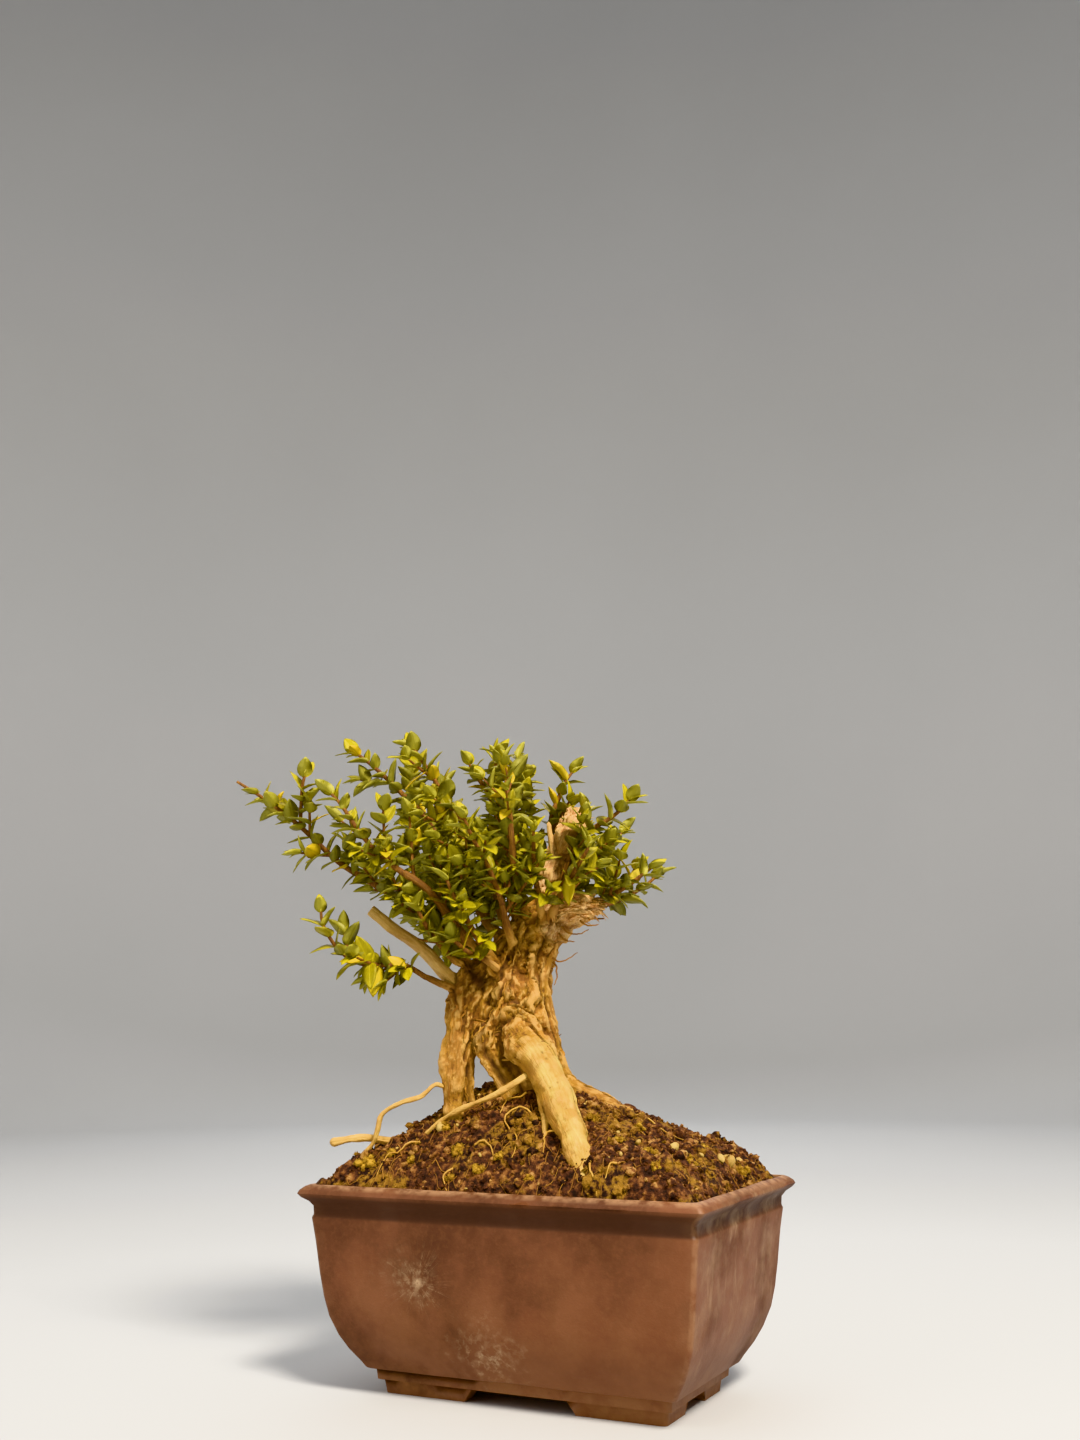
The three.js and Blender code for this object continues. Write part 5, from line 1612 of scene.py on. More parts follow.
@dataclass
class StemField:
    """Every woody stem as a cloud of spots, to say which stem a point of the bark belongs to."""

    stems: list[tuple[Stem, Bark]]
    pitch: float = 1.0

    def __post_init__(self) -> None:
        """Lays the spots out."""
        rows = []
        for owner, (stem, _) in enumerate(self.stems):
            points, radii, along = stem.sampled(self.pitch)
            _, us, vs = Stem(points, radii).frames()
            rows.append(np.column_stack([points, radii, us, vs, along, np.full(len(radii), owner)]))
        table = np.concatenate(rows)
        self.centres, self.radii, self.us, self.vs = table[:, :3], table[:, 3], table[:, 4:7], table[:, 7:10]
        self.along, self.owners = table[:, 10], table[:, 11].astype(int)

    def read(self, points: Array) -> tuple[Array, Array]:
        """Where points lie on their nearest stem.

        Args:
            points: points of the bark, in the pot's frame.

        Returns:
            The number of each point's stem, and its place there: two
            coordinates round the stem and one along it, in millimetres.
        """
        owners = np.zeros(len(points), int)
        places = np.zeros((len(points), 3))
        for start in range(0, len(points), 3000):
            some = points[start : start + 3000]
            gap = np.linalg.norm(some[:, None, :] - self.centres[None, :, :], axis=2) - self.radii
            best = gap.argmin(axis=1)
            away = some - self.centres[best]
            reach = np.maximum(np.linalg.norm(away, axis=1), 1e-6)
            round_u = np.einsum("ij,ij->i", away, self.us[best]) / reach
            round_v = np.einsum("ij,ij->i", away, self.vs[best]) / reach
            owners[start : start + 3000] = self.owners[best]
            radius = self.radii[best]
            here = [round_u * radius, round_v * radius, self.along[best]]
            places[start : start + 3000] = np.column_stack(here)
        return owners, places


@dataclass
class TrunkWood:
    """The old wood that grew as one piece: column, legs, roots, stubs and boughs."""

    voxel: float = 0.63
    heavy_steps: int = 7
    twist: float = 0.03
    slender: float = 0.84
    slim: tuple[str, ...] = ("slanted_root", "arched_root", "stick_root")
    ridges: dict[str, tuple[int, float]] = field(
        default_factory=lambda: {
            "column": (5, 0.12), "left_leg": (3, 0.08), "middle_leg": (3, 0.1), "dead_top": (3, 0.22),
            "torn_knob": (4, 0.24),
        }
    )

    def __post_init__(self) -> None:
        """Draws every stem."""
        steps, share = self.heavy_steps, BOUGH_SHARE * self.slender
        self.members = {name: Stem.through(rows, steps) for name, rows in {**WOOD, **SINEWS}.items()}
        woods = [[(x, y, z, r * share) for x, y, z, r in bough.wood] for bough in BOUGHS]
        self.boughs = [Stem.through(wood, steps) for wood in woods]
        stems = [(stem, MEMBER_BARK[name]) for name, stem in self.members.items()]
        self.stems = StemField(stems + [(stem, Bark.TWIG) for stem in self.boughs])

    def ridge(self, name: str) -> Callable[[Array, float], Array]:
        """The lobes that run along a member, as a share of its radius by angle and share of its length."""
        lobes, depth = self.ridges.get(name, (3, 0.03))
        rows = len(WOOD.get(name, SINEWS.get(name, ()))) - 1

        def swell(angles: Array, share: float) -> Array:
            """The radius as a share of the member's."""
            j = share * rows
            low = math.floor(j)
            amounts = [0.7 + 0.6 * draw(k * 2.3 + lobes) for k in (low, low + 1)]
            amount = amounts[0] * (1 - (j - low)) + amounts[1] * (j - low)
            return 1 + depth * np.cos(lobes * angles + 0.35 * j) * amount

        return swell

    def body(self) -> tuple[Array, list[Face], Array]:
        """The thick members melted into one skin, and the slim ones: points, faces and outward directions."""
        draft = Draft()
        for name, stem in self.members.items():
            if name not in self.slim:
                add_tube(draft, stem, 20, Tip.FLAT if name == "cut_stub" else Tip.ROUND, self.ridge(name))
        for stem in self.boughs:
            add_tube(draft, stem, 14, Tip.FLAT)
        body = draft.build("trunk_draft")
        modify(body, "REMESH", mode="VOXEL", voxel_size=self.voxel * MM, use_smooth_shade=True)
        modify(body, "SMOOTH", factor=0.5, iterations=3)
        apply_modifiers(body)
        points, faces, _ = arrays_of(body)
        remove(body)
        draft = Draft()
        draft.add(points, faces)
        for name in self.slim:
            add_tube(draft, self.members[name].smoothed(2), 14, Tip.ROUND)
        raw = draft.build("trunk_draft")
        gathered = arrays_of(raw)
        remove(raw)
        return gathered

    def skins(self, points: Array, faces: list[Face], outward: Array, owners: Array, along: Array) -> Array:
        """The numbers of each point's bark, in the order that Skin lists them, blended where stems meet, with
        the pale amount lowered on faces turned from the upper right as painted light.
        """
        own = np.array([astuple(bark.value) for _, bark in self.stems.stems])[owners]
        share = np.ones(len(points))
        uneven = ripple(points / 4.0 + 60, 3) * 4
        for number, name in enumerate(self.members):
            if name in FADES:
                mine = owners == number
                share[mine] = smoothstep(along[mine] + uneven[mine], *FADES[name])
        rough = np.array(astuple(Bark.ROUGH.value))
        table = self.evened(rough + (own - rough) * share[:, None], faces, 9)
        table[:, 7] *= smoothstep(along, 5, 15)
        low = smoothstep(points[:, 2] + uneven, 122, 104) * (1 - np.clip(table[:, 4] * 1.5, 0, 1)) * 0.55
        table[:, 5] += (1 - table[:, 5]) * low
        # Painted light: the pale amount is kept on faces turned up and to the right, where the key light
        # falls, and lowered on the others.
        lit_side = smoothstep(outward @ unit(planted((0.62, -0.35, 0.70))) + uneven * 0.05, -0.45, 0.45)
        table[:, 5] *= 0.45 + 0.55 * lit_side
        return table

    def relief(self, points: Array, places: Array, owners: Array, skins: Array) -> tuple[Array, Array]:
        """How far each point rises, and how dark its cracks are."""
        depth, width, reach, swell, plates = skins[:, :5].T
        turn = places[:, 2] * self.twist
        u = places[:, 0] * np.cos(turn) - places[:, 1] * np.sin(turn)
        v = places[:, 0] * np.sin(turn) + places[:, 1] * np.cos(turn)
        warp = drift(points, 7.0, (0, 13, 26))
        apart = owners[:, None] * 7.3
        grain = np.column_stack([u / width, v / width, places[:, 2] / reach]) + warp * 0.5 + apart
        lines = ripple(grain, 4, 0.8)
        comes = smoothstep(ripple(points / 6.0 + 40, 2), -0.05, 0.5)
        crack = np.exp(-((lines / 0.11) ** 2)) * comes
        cells = np.column_stack([u / 2.6, v / 2.6, places[:, 2] / 4.2]) + warp * 0.6 + apart
        nearest = [noise.voronoi(Vector(p))[0] for p in cells.tolist()]
        gaps = np.array([near[1] - near[0] for near in nearest])
        seam = (1 - smoothstep(gaps, 0.0, 0.26)) * plates
        seam *= smoothstep(ripple(points / 10.0 + 70, 2), -0.15, 0.4)
        rise = ripple(points / 9.0, 2) * swell * 1.5 + ripple(points / 3.2 + 50, 3) * depth * 0.6
        rise += lines * depth * 0.9 - crack * depth * 1.1 - seam * depth * 0.8
        rise += ripple(points / 1.2 + 9, 2) * depth * 0.16
        return rise, np.clip(crack * 0.42 * np.clip(depth / 0.8, 0, 1) + seam * 0.3, 0, 1)

    def carve(self, points: Array, rise: Array, dark: Array) -> Array:
        """Works the listed lines into the rise and the darkness, with painted shade in hollows, and says how
        far each point takes the painted cream highlight.
        """
        highlight_cream = np.zeros(len(points))
        wobble = 1 + 0.45 * ripple(points / 2.6 + 23, 2)
        for width, raised, darker, highlight, route in CARVINGS:
            line = Stem.through([(*p, 1.0) for p in route], 3).sampled(0.6)[0]
            low, high = line.min(axis=0) - 3 * width, line.max(axis=0) + 3 * width
            near = ((points > low) & (points < high)).all(axis=1)
            away = np.linalg.norm(points[near][:, None] - line[None], axis=2).min(axis=1)
            share = np.exp(-((away / (width * wobble[near])) ** 2))
            rise[near] += raised * share
            dark[near] = np.maximum(dark[near] * (1 - highlight * share), darker * share)
            highlight_cream[near] = np.maximum(highlight_cream[near] * (1 - darker * share), highlight * share)
        return highlight_cream

    def build(self, finishes: Finishes) -> Object:
        """The wood as a dressed piece."""
        points, faces, outward = self.body()
        owners, places = self.stems.read(points)
        skins = self.skins(points, faces, outward, owners, places[:, 2])
        rise, dark = self.relief(points, places, owners, skins)
        highlight_cream = self.carve(points, rise, dark)
        points = points + outward * rise[:, None]
        # Painted light from the relief: a highlight where a point stands out from its neighbours, shade where
        # it lies behind them, plus the carved highlights.
        crest = np.einsum("ij,ij->i", points - self.evened(points, faces, 7), outward) / 0.3
        self.skin = BVHTree.FromPolygons(points.tolist(), faces)
        draft = Draft(("pale", "torn", "thin", "fissure", "crest"))
        crest = np.clip(crest, -1, 1) * (1 - highlight_cream) * (1 - 0.8 * skins[:, 7]) + highlight_cream * 1.4
        crest = np.maximum(crest, -1 + 0.7 * skins[:, 6])
        pale, torn, thin = skins[:, 5:].T
        draft.add(points, faces, pale=pale, torn=torn, thin=thin, fissure=dark, crest=crest)
        self.add_flakes(draft)
        self.add_strings(draft)
        for k, route in enumerate(FIBRES):
            stem = Stem.through([(*p, 0.42 - 0.09 * i) for i, p in enumerate(route)], 6)
            stem.points += drift(stem.points, 1.8, (k, k + 9, k + 21)) * 0.4
            add_tube(draft, stem, 6, Tip.POINTED, thin=0.6)
        trunk = draft.build("trunk_wood", [finishes.bark], sharp=50.0)
        self.mark_grain(trunk)
        return hand_over(trunk, "bark", "trunk")

    @staticmethod
    def evened(values: Array, faces: list[Face], rounds: int) -> Array:
        """Values at points, averaged with their neighbours' a number of times."""
        pairs = np.array([(face[i - 1], face[i]) for face in faces for i in range(len(face))])
        ends = np.concatenate([pairs[:, 0], pairs[:, 1]])
        others = np.concatenate([pairs[:, 1], pairs[:, 0]])
        weight = 1 + np.bincount(ends, minlength=len(values))
        for _ in range(rounds):
            sums = [np.bincount(ends, column[others], len(values)) for column in values.T]
            values = (values + np.array(sums).T) / weight[:, None]
        return values

    def add_flakes(self, draft: Draft) -> None:
        """Chunky flakes and splinters where the knob and the dead top were torn off."""
        rng = np.random.default_rng(5)
        ball, faces = lump(1)
        torn = (("torn_knob", 60, 0.9), ("knob_shelf", 84, 0.9), ("dead_top", 24, 0.6), ("dead_cap", 44, 0.6))
        for name, count, spread in torn:
            stem = self.members[name]
            for k in range(count):
                spot = stem.spot(stem.length * (1 - 0.8 * rng.random() ** 1.3))
                side = spot.side(rng.uniform(0, 2 * math.pi))
                way = unit(spot.tangent + side * rng.uniform(-0.2, spread) + rng.normal(0, 0.3, 3))
                foot = spot.point + side * spot.radius * rng.uniform(0.7, 1.0)
                tone = rng.uniform(0.1, 1.0)
                if k % 5:
                    size = np.array([rng.uniform(1.2, 2.8), rng.uniform(0.9, 2.1), rng.uniform(0.4, 1.0)])
                    shape = roughened(ball, rng, 0.17) * size
                    draft.add(foot + shape @ np.array([way, *across(way)]), faces, torn=1.0, crest=tone)
                else:
                    end = foot + way * rng.uniform(2.5, 5.5) + rng.normal(0, 0.6, 3)
                    line = np.array([foot - way * 1.5, foot + way * 1.6, end])
                    splinter = Stem(line, np.array([0.8, 0.6, 0.2]) * rng.uniform(0.7, 1.3)).smoothed(3)
                    add_tube(draft, splinter, 6, Tip.POINTED, squeeze=0.5, torn=1.0, crest=tone)

    def add_strings(self, draft: Draft) -> None:
        """Strips of loose bark along the old wood, some with an end that hangs free."""
        rng = np.random.default_rng(9)
        for k in range(46):
            stem = self.members[("column", "column", "left_web", "left_leg", "middle_band")[k % 5]]
            start = stem.length * rng.uniform(0.12, 0.8)
            turn = rng.uniform(0, 2 * math.pi)
            count = int(rng.integers(6, 15))
            free = rng.random() < 0.45
            line = []
            for i in range(count):
                spot = stem.spot(min(start + i * 1.5, stem.length - 0.1))
                turn += self.twist * 1.5 + rng.normal(0, 0.07)
                reach = spot.point + spot.side(turn) * spot.radius
                found, outward, _, _ = self.skin.find_nearest(Vector(reach))
                lift = 0.1 + (0.25 * max(i - count + 5, 0) ** 1.3 if free else 0)
                line.append(np.array(found) + np.array(outward) * lift)
            radii = np.interp(np.arange(count), [0, 2, count - 3, count - 1], [0.15, 0.5, 0.45, 0.12])
            strip = Stem(np.array(line), radii).smoothed(2)
            add_tube(draft, strip, 6, squeeze=0.5, pale=rng.uniform(0.0, 0.4), crest=rng.uniform(-0.6, 0.7))

    def mark_grain(self, trunk: Object) -> None:
        """Marks where each point lies round and along its stem, for the grain of the bark."""
        points, _, _ = arrays_of(trunk)
        owners, places = self.stems.read(points)
        mark_points(trunk.data, "grain_at", places + owners[:, None] * 3.7)


# Leafy growth.


@dataclass
class Member:
    """One stem of a spray with what its leaves follow."""

    stem: Stem
    bare: float
    seed: float
    is_cut: bool = False
    is_side: bool = False
    vigour: float = 1.0


@dataclass
class Leaf:
    """One leaf: its foot, where it points and faces, its length, and how old and how yellowed it is."""

    foot: Array
    direction: Array
    face: Array
    length: float
    age: float
    tint: float


@dataclass
class Spray:
    """A leafy shoot or short spray, which stands for one node of the model."""

    name: str
    members: list[Member]
    large: list[tuple[Array, Array]] = field(default_factory=list)


class Growth:
    """Where every twig and leaf stands, by the rules that placed the model's own."""

    def __init__(self) -> None:
        """Claims the old wood, then grows the shoots and the sprays inside the crown."""
        self.taken: list[Array] = []
        self.owners: dict[str, int] = {"trunk": 0}
        self.boughs = [Stem.through([(x, y, z, r * BOUGH_SHARE) for x, y, z, r in b.wood]) for b in BOUGHS]
        for stem in [*(Stem.through(rows) for rows in WOOD.values()), *self.boughs]:
            self.claim(stem, "trunk")
        shoots = [self.long_shoot(index) for index, bough in enumerate(BOUGHS) if bough.leafy]
        self.sprays = [*shoots, *self.inner_sprays()]
        self.thicken()

    def claim(self, stem: Stem, owner: str) -> None:
        """Notes the room that a stem takes."""
        points, radii, _ = stem.sampled()
        number = self.owners.setdefault(owner, len(self.owners))
        self.taken.append(np.column_stack([points, radii, np.full(len(radii), number)]))

    def is_clear(self, stem: Stem, owner: str, foot_length: float, room: float = 0.6) -> bool:
        """Whether a stem stays clear of every other owner's stems, past its own foot."""
        points, radii, distances = stem.sampled()
        taken = np.concatenate(self.taken)
        gaps = np.linalg.norm(points[:, None] - taken[None, :, :3], axis=2)
        clear = gaps > radii[:, None] + taken[None, :, 3] + room
        own = taken[:, 4] == self.owners.setdefault(owner, len(self.owners))
        at_foot = (distances < foot_length)[:, None] & (taken[:, 4] == self.owners["trunk"])
        return bool((clear | own | at_foot).all())

    @staticmethod
    def twig_from(stem: Stem, distance: float, turn: float, reach: float, radius: float) -> Stem:
        """A short twig that leaves a stem sideways and then turns up a little."""
        spot = stem.spot(distance)
        direction = unit(spot.tangent * 0.62 + spot.side(turn) * 0.78 + UP * 0.12)
        points = [spot.point + direction * reach * k + UP * 0.1 * reach * k * k for k in (0.0, 0.5, 1.0)]
        return Stem(np.array(points), np.array([radius, radius * 0.85, radius * 0.6]))

    def clear_twig(
        self, stem: Stem, distance: float, turn: float, reach: float, radius: float, owner: str
    ) -> Stem | None:
        """The first of some turns about a stem at which a twig stays clear, or nothing."""
        for attempt in range(6):
            twig = self.twig_from(stem, distance, turn + attempt * 0.9, reach * (1 - 0.07 * attempt), radius)
            if self.is_clear(twig, owner, 7):
                return twig
        return None

    def long_shoot(self, index: int) -> Spray:
        """A leafy shoot that goes on from a bough's end, with its forks and side twigs."""
        bough, wood = BOUGHS[index], self.boughs[index]
        ahead = wood.end_tangent()
        radius = float(wood.radii[-1]) * 0.92
        rows = [bough.wood[-1][:3], *bough.leafy]
        listed = [(*row, radius - (radius - 0.6) * i / len(bough.leafy)) for i, row in enumerate(rows)]
        main = Stem.through(listed)
        main.points[0] = wood.points[-1] + ahead * 0.35
        if not bough.is_cut:
            main.shorten(FORK_TRIM)
        owner = f"long_shoot_{index}"
        members = [Member(main, 5, index * 1.7 + 0.4, is_cut=bough.is_cut)]
        for at, route in FORKS:
            if at == index:
                fork = Stem.through([(*row, 0.9 - 0.12 * i) for i, row in enumerate(route)])
                fork.shorten(FORK_TRIM)
                members.append(Member(fork, 5, index * 1.3 + 9))
        for member in members:
            self.claim(member.stem, owner)
        count = math.floor((main.length - 12) / TWIG_PITCH)
        for k in range(count):
            key = index * 7.7 + k * 3.3
            reach = 15 - 5 * k / count + 4 * (draw(key) - 0.5)
            twig = self.clear_twig(main, 8 + TWIG_PITCH * k, k * GOLDEN_TURN + index, reach, 0.75, owner)
            if twig:
                self.claim(twig, owner)
                members.append(Member(twig, 4.5, key, is_side=True))
        large = [(planted(foot), planted(tip)) for at, foot, tip in LARGE_LEAVES if at == index]
        return Spray(owner, members, large)

    def inner_sprays(self) -> list[Spray]:
        """Short sprays along the woody boughs, which fill the crown's inside."""
        sprays: list[Spray] = []
        self.spray_boughs: list[tuple[Spray, int, float]] = []
        for index, bough in enumerate(self.boughs):
            for k in range(math.floor((bough.length - 14) / 15 + 0.5)):
                key = index * 5.9 + k * 2.7
                distance = bough.length - 5 - k * SPRAY_PITCH
                if distance < 10:
                    continue
                owner = f"inner_spray_{len(sprays)}"
                twig = self.clear_twig(bough, distance, key * 2.4, 20 + 6 * (draw(key) - 0.5), 0.85, owner)
                if twig:
                    self.claim(twig, owner)
                    sprays.append(Spray(owner, [Member(twig, 5.5, key)]))
                    self.spray_boughs.append((sprays[-1], index, distance))
        return sprays

    def add_twig(self, spray: Spray, stem: Stem, distance: float, key: float, reach: float) -> None:
        """Adds one short twig to a spray where it stays clear."""
        twig = self.clear_twig(stem, distance, key * 2.9, reach + 3 * (draw(key) - 0.5), 0.55, spray.name)
        if twig:
            self.claim(twig, spray.name)
            spray.members.append(Member(twig, 3.4, key + 0.5, is_side=True, vigour=0.88))

    def thicken(self) -> None:
        """Adds finer twigs near the trunk, where the crown is dense and hides its boughs."""
        for spray in list(self.sprays):
            main = spray.members[0].stem
            span = main.length - 6 if spray.name.startswith("inner") else min(main.length * 0.42, 26)
            for k in range(int((span - 3) / FINE_TWIG_PITCH)):
                key = spray.members[0].seed * 3.1 + k * 1.9
                self.add_twig(spray, main, 4 + FINE_TWIG_PITCH * k, key, 10.0)
        hosts = {index: spray for spray, index, _ in reversed(self.spray_boughs)}
        hosts.update({int(s.name.rsplit("_", 1)[1]): s for s in self.sprays if s.name.startswith("long")})
        for index, bough in enumerate(self.boughs):
            for k in range(0 if index == CLEAN_BOUGH else int((bough.length - 11) / FINE_TWIG_PITCH)):
                key = index * 3.7 + k * 1.7
                self.add_twig(hosts[index], bough, 10 + FINE_TWIG_PITCH * k, key, 12.5)


@dataclass
class Foliage:
    """The leaf's own form, and how leaves stand on their twigs."""

    stations: tuple[float, ...] = (0.0, 0.07, 0.2, 0.36, 0.54, 0.72, 0.88)
    halves: tuple[float, ...] = (0.12, 0.55, 0.9, 1.0, 0.94, 0.72, 0.38)
    cup: float = 0.17
    thickness: float = 0.035

    def __post_init__(self) -> None:
        """Lays out the faces of one leaf: 5 points across the top, 1 under the midrib, and a tip."""
        top, under = [], []
        for i in range(len(self.stations) - 1):
            a, b = i * 6, (i + 1) * 6
            top += [(a + j, b + j, b + j + 1, a + j + 1) for j in range(4)]
            under += [(a, a + 5, b + 5, b), (a + 5, a + 4, b + 4, b + 5)]
        last, tip = (len(self.stations) - 1) * 6, len(self.stations) * 6
        top += [(last + j, tip, last + j + 1) for j in range(4)]
        under += [(last, last + 5, tip), (last + 5, last + 4, tip), (0, 1, 2, 3, 4, 5)]
        self.faces = top + under
        self.slots = [1] * len(top) + [2] * len(under)

    def add_leaf(self, draft: Draft, leaf: Leaf, key: float) -> None:
        """Adds one leaf to a mesh.

        Args:
            draft: the mesh.
            leaf: where it is and how it lies.
            key: what its small differences from the others come from.
        """
        width = leaf.length * LEAF_WIDTH / 2 * (0.95 + 0.2 * draw(key + 5))
        droop = 0.10 + 0.24 * draw(key + 6)
        roll = (draw(key + 7) - 0.5) * 0.5
        face = unit(leaf.face * math.cos(roll) + np.cross(leaf.direction, leaf.face) * math.sin(roll))
        aside = np.cross(face, leaf.direction)
        cup = self.cup * (0.6 + 0.8 * draw(key + 8))
        rows, flat = [], []
        for t, half in zip(self.stations, self.halves):
            sag = -droop * leaf.length * t * t
            wave = 0.05 * width * math.sin(9 * t + key)
            for s in (-1.0, -0.5, 0.0, 0.5, 1.0):
                lift = cup * half * width * s * s + sag + wave * s
                lift -= 0.035 * leaf.length * half if s == 0 else 0
                rows.append((t * leaf.length, s * half * width, lift))
                flat.append((t, (s * half + 1) / 2))
            rows.append((t * leaf.length, 0.0, sag - self.thickness * leaf.length * (0.6 + 0.5 * half)))
            flat.append((t, 0.5))
        rows.append((leaf.length, 0.0, -droop * leaf.length))
        flat.append((1.0, 0.5))
        local = np.array(rows)
        points = leaf.foot + local @ np.array([leaf.direction, aside, face])
        draft.add(points, self.faces, self.slots, np.array(flat), age=leaf.age, tint=leaf.tint)

    @staticmethod
    def laid(spot: Spot, direction: Array, length: float, age: float, tint: float) -> Leaf:
        """A leaf at a spot of a stem, which faces up the stem and to the sky."""
        face = spot.tangent * 0.7 + UP * 0.6
        face = face - direction * float(face @ direction)
        if np.linalg.norm(face) < 0.1:
            face = across(direction)[0]
        return Leaf(spot.point - direction * 0.3 * spot.radius, direction, unit(face), length, age, tint)

    def leaves_of(self, member: Member) -> list[Leaf]:
        """Every leaf of a stem: opposite pairs at an even pitch, and a pair at the tip."""
        smooth = member.stem.smoothed(4)
        stretch = smooth.length / member.stem.length
        length = member.stem.length
        count = math.floor((length - member.bare - (8 if member.is_cut else 1.5)) / LEAF_PITCH)
        leaves = []
        for pair in range(count + 1):
            distance = member.bare + pair * LEAF_PITCH
            share = distance / length
            for side in range(2):
                key = member.seed * 37.7 + pair * 5.31 + side * 2.17
                turn = member.seed + pair * PAIR_TURN + side * math.pi + 0.4 * (draw(key) - 0.5)
                lean = 1.08 - 0.42 * share + 0.24 * (draw(key + 1) - 0.5)
                reach = LEAF_LENGTH * (1 - 0.22 * share) * (0.84 + 0.3 * draw(key + 2)) * member.vigour
                age = 0.95 - 0.75 * share + 0.5 * (draw(key + 3) - 0.5)
                spot = smooth.spot(min(distance * stretch, smooth.length))
                leaves.append(self.turned_leaf(spot, turn, lean, reach, age, draw(key + 4)))
        for side in range(0 if member.is_cut else 2):
            turn = member.seed + (count + 1) * PAIR_TURN + side * math.pi
            reach = LEAF_LENGTH * (0.72 + 0.15 * draw(member.seed + side)) * member.vigour
            outer, inner = smooth.spot(smooth.length - 0.3), smooth.spot(smooth.length - 0.1)
            leaves.append(self.turned_leaf(outer, turn, 0.42, reach, 0.05 + 0.2 * draw(member.seed), 0.2))
            leaves.append(self.turned_leaf(inner, turn + 1.4, 0.26, reach * 0.62, 0.0, 0.3))
        return leaves

    @staticmethod
    def hides_old_wood(leaf: Leaf) -> bool:
        """Whether a leaf would stand in one of the clearings."""
        middle = leaf.foot + leaf.direction * leaf.length * 0.55
        cos, sin = math.cos(PLANT_TURN), math.sin(PLANT_TURN)
        back = middle[1] * cos - middle[0] * sin
        seen = np.array([middle[0] * cos + middle[1] * sin, middle[2]])
        for ax, az, bx, bz, radius, reach in CLEARINGS:
            start, run = np.array([ax, az]), np.array([bx - ax, bz - az])
            share = float(np.clip((seen - start) @ run / (run @ run), 0.0, 1.0))
            if back < reach and np.linalg.norm(seen - start - run * share) < radius:
                return True
        return False

    def turned_leaf(
        self, spot: Spot, turn: float, lean: float, length: float, age: float, tint: float
    ) -> Leaf:
        """A leaf that leans out from a spot of a stem at a turn about it."""
        direction = unit(spot.tangent * math.cos(lean) + spot.side(turn) * math.sin(lean))
        return self.laid(spot, direction, length, age, tint)

    def build(self, spray: Spray, finishes: Finishes) -> Object:
        """One spray as a dressed piece: twigs and leaves.

        Args:
            spray: its stems.
            finishes: the materials.

        Returns:
            The piece.
        """
        draft = Draft(("age", "tint", "thin", "pale", "torn", "fissure", "crest"))
        for n, member in enumerate(spray.members):
            stem = Stem(member.stem.points.copy(), member.stem.radii * 0.86)
            if n == 0:
                stem.points[0] -= unit(stem.points[1] - stem.points[0]) * 1.2
            add_tube(draft, stem.smoothed(4), 7, Tip.FLAT if member.is_cut else Tip.ROUND, thin=1.0, pale=0.2)
            for k, leaf in enumerate(self.leaves_of(member)):
                if not self.hides_old_wood(leaf):
                    self.add_leaf(draft, leaf, member.seed * 1.7 + k * 0.61)
        for foot, tip in spray.large:
            reach = tip - foot
            spot = Spot(foot, UP, 0.5, 0.0)
            leaf = self.laid(spot, unit(reach), float(np.linalg.norm(reach)) + 0.5, 0.2, 0.93)
            self.add_leaf(draft, leaf, foot[0])
        name = spray.name.replace("long_shoot", "shoot").replace("inner_spray", "spray") + "_leafy"
        piece = draft.build(name, [finishes.bark, finishes.leaf, finishes.leaf_under])
        mark_points(piece.data, "grain_at", arrays_of(piece)[0])
        return hand_over(piece, "leaves", spray.name)


# Studio.


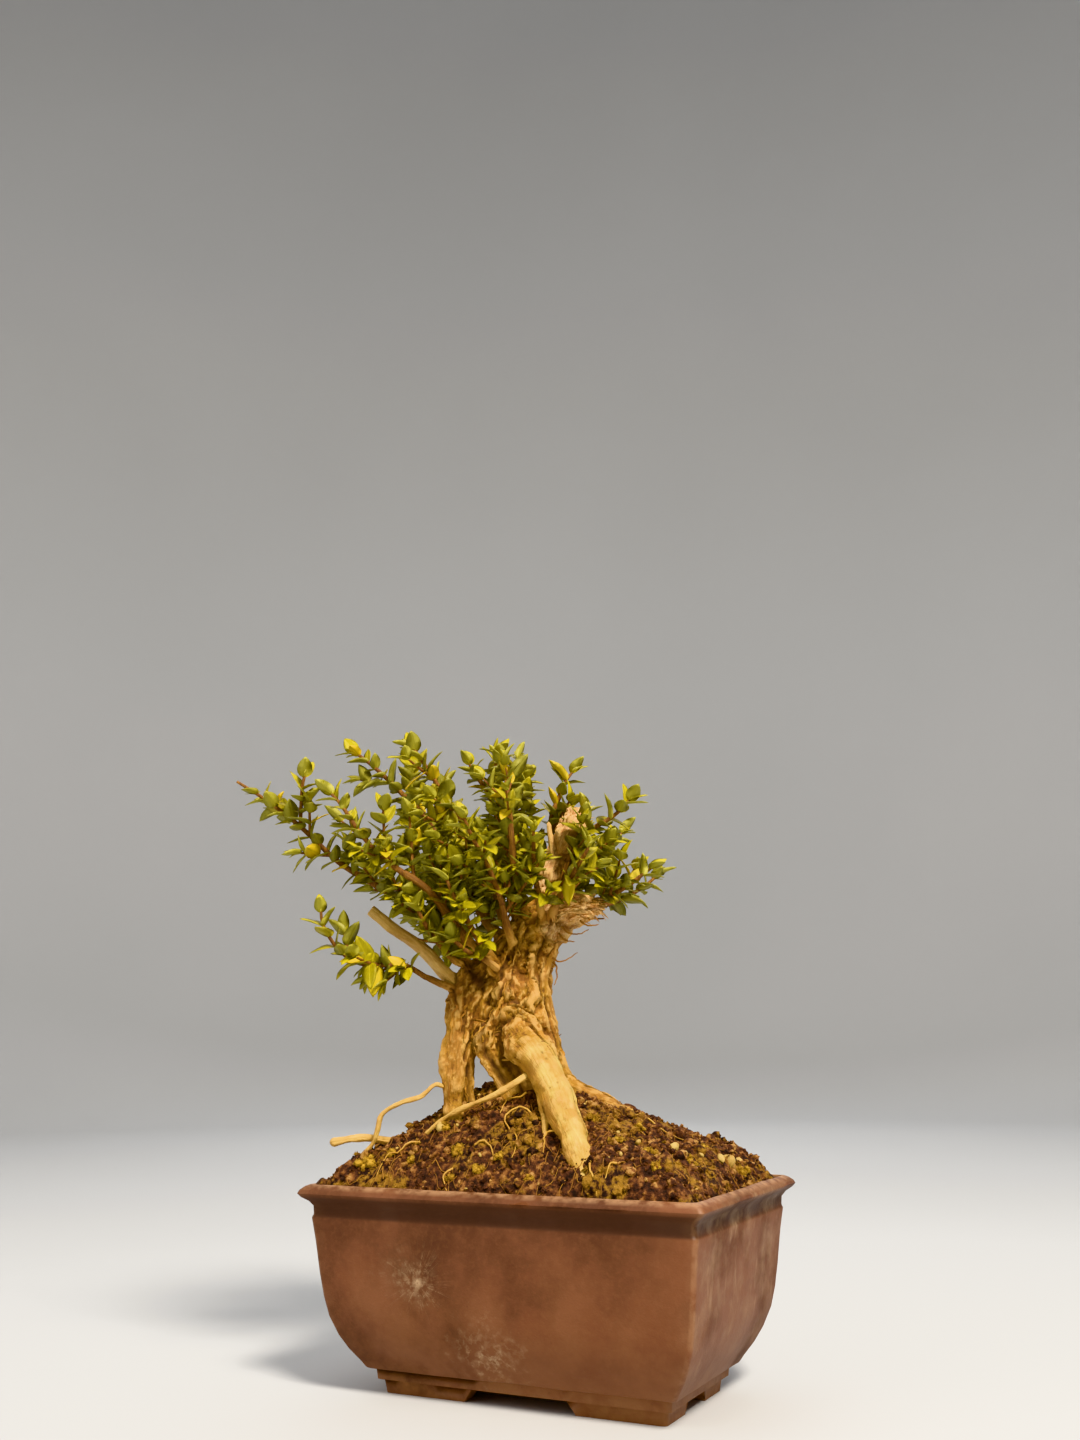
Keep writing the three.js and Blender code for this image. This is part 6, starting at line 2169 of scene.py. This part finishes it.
@dataclass
class Studio:
    """The camera at the photograph's viewing angle, a pale sweep all round, and soft lights."""

    eye: Place = (237.849, -477.789, 124.916)
    pitch: float = 0.219911
    heading: float = 0.466003
    roll: float = -0.010472
    lens: float = 34.75
    sensor: float = 36.0
    # The sweep, in metres.
    floor_radius: float = 1.5
    bend: float = 0.7
    wall_height: float = 2.6
    around: int = 96
    # Each light's name, place in metres from the pot's axis, size, power and colour.
    lights: tuple[tuple[str, Place, float, float, Colour], ...] = (
        ("key", (0.80, -0.64, 1.18), 0.35, 36.0, (1.0, 0.92, 0.80)),
        ("fill", (-0.95, -1.0, 0.75), 1.3, 8.5, (1.0, 0.95, 0.88)),
        ("top", (-0.1, 0.15, 1.5), 0.9, 6.0, (1.0, 0.97, 0.93)),
        ("back", (-0.5, 1.2, 0.9), 1.2, 4.5, (0.95, 0.97, 1.0)),
    )
    lit_middle: Place = (0.0, 0.0, 0.13)
    room: Colour = (0.84, 0.84, 0.84)
    room_power: float = 0.27

    def aim(self) -> None:
        """Sets the camera up."""
        data = bpy.data.cameras.new("camera")
        data.lens = self.lens
        data.sensor_width = self.sensor
        data.clip_start = 0.01
        data.clip_end = 50.0
        camera = bpy.data.objects.new("camera", data)
        bpy.context.scene.collection.objects.link(camera)
        turn = Matrix.Rotation(self.heading, 4, "Z") @ Matrix.Rotation(math.pi / 2 + self.pitch, 4, "X")
        place = Matrix.Translation(Vector(self.eye) * MM + Vector(POT_AXIS))
        camera.matrix_world = place @ turn @ Matrix.Rotation(self.roll, 4, "Z")
        bpy.context.scene.camera = camera

    def sweep(self, finishes: Finishes) -> None:
        """A pale floor that curves up into a wall on every side."""
        bend, count = self.bend, self.around
        profile = [(self.floor_radius * 0.5, 0.0), (self.floor_radius, 0.0)]
        for a in np.linspace(0.05, math.pi / 2, 24):
            profile.append((self.floor_radius + bend * math.sin(a), bend * (1 - math.cos(a))))
        profile.append((self.floor_radius + bend, self.wall_height))
        angles = np.arange(count) * (2 * math.pi / count)
        circle = np.column_stack([np.cos(angles), np.sin(angles)])
        rings = [np.column_stack([circle * r, np.full(count, z)]) / MM for r, z in profile]
        draft = Draft()
        faces: list[Face] = [(0, 1 + i, 1 + (i + 1) % count) for i in range(count)]
        for j in range(len(rings) - 1):
            a, b = 1 + j * count, 1 + (j + 1) * count
            faces += [(a + i, b + i, b + (i + 1) % count, a + (i + 1) % count) for i in range(count)]
        draft.add(np.concatenate([np.zeros((1, 3)), *rings]), faces)
        floor = draft.build("studio_sweep", [finishes.studio])

    def light(self, name: str, place: Place, size: float, power: float, colour: Colour) -> None:
        """A soft square light that looks at the plant."""
        data = bpy.data.lights.new(name, "AREA")
        data.shape = "SQUARE"
        data.size = size
        data.energy = power
        data.color = colour
        lamp = bpy.data.objects.new(name, data)
        lamp.location = Vector(place) + Vector(POT_AXIS)
        aim = Vector(self.lit_middle) + Vector(POT_AXIS) - lamp.location
        lamp.rotation_mode = "QUATERNION"
        lamp.rotation_quaternion = aim.to_track_quat("-Z", "Y")
        lamp.visible_camera = False
        bpy.context.scene.collection.objects.link(lamp)

    def build(self, finishes: Finishes) -> None:
        """Camera, sweep, lights and the dim light of the room."""
        self.aim()
        self.sweep(finishes)
        for light in self.lights:
            self.light(*light)
        world = bpy.data.worlds.new("room")
        world.use_nodes = True
        backing = world.node_tree.nodes["Background"]
        backing.inputs["Color"].default_value = (*self.room, 1.0)
        backing.inputs["Strength"].default_value = self.room_power
        bpy.context.scene.world = world
        bpy.context.scene.view_settings.view_transform = "Khronos PBR Neutral"


def write_sizes() -> None:
    """Brings the scene's placements up to date."""
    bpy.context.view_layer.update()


def main() -> None:
    """Builds the studio and every piece in order."""
    logging.basicConfig(level=logging.INFO, format="%(name)s: %(message)s")
    finishes = Finishes()
    Studio().build(finishes)
    pot = TrainingPot()
    pot.build(finishes)
    DrainMeshes().dress(finishes)
    mound = SoilMound(pot)
    mound.build(finishes)
    LooseSoil(mound).build(finishes)
    TrunkWood().build(finishes)
    foliage = Foliage()
    growth = Growth()
    for spray in growth.sprays:
        foliage.build(spray, finishes)
    LOG.info("%d leafy pieces", len(growth.sprays))
    write_sizes()


if __name__ == "__main__":
    main()
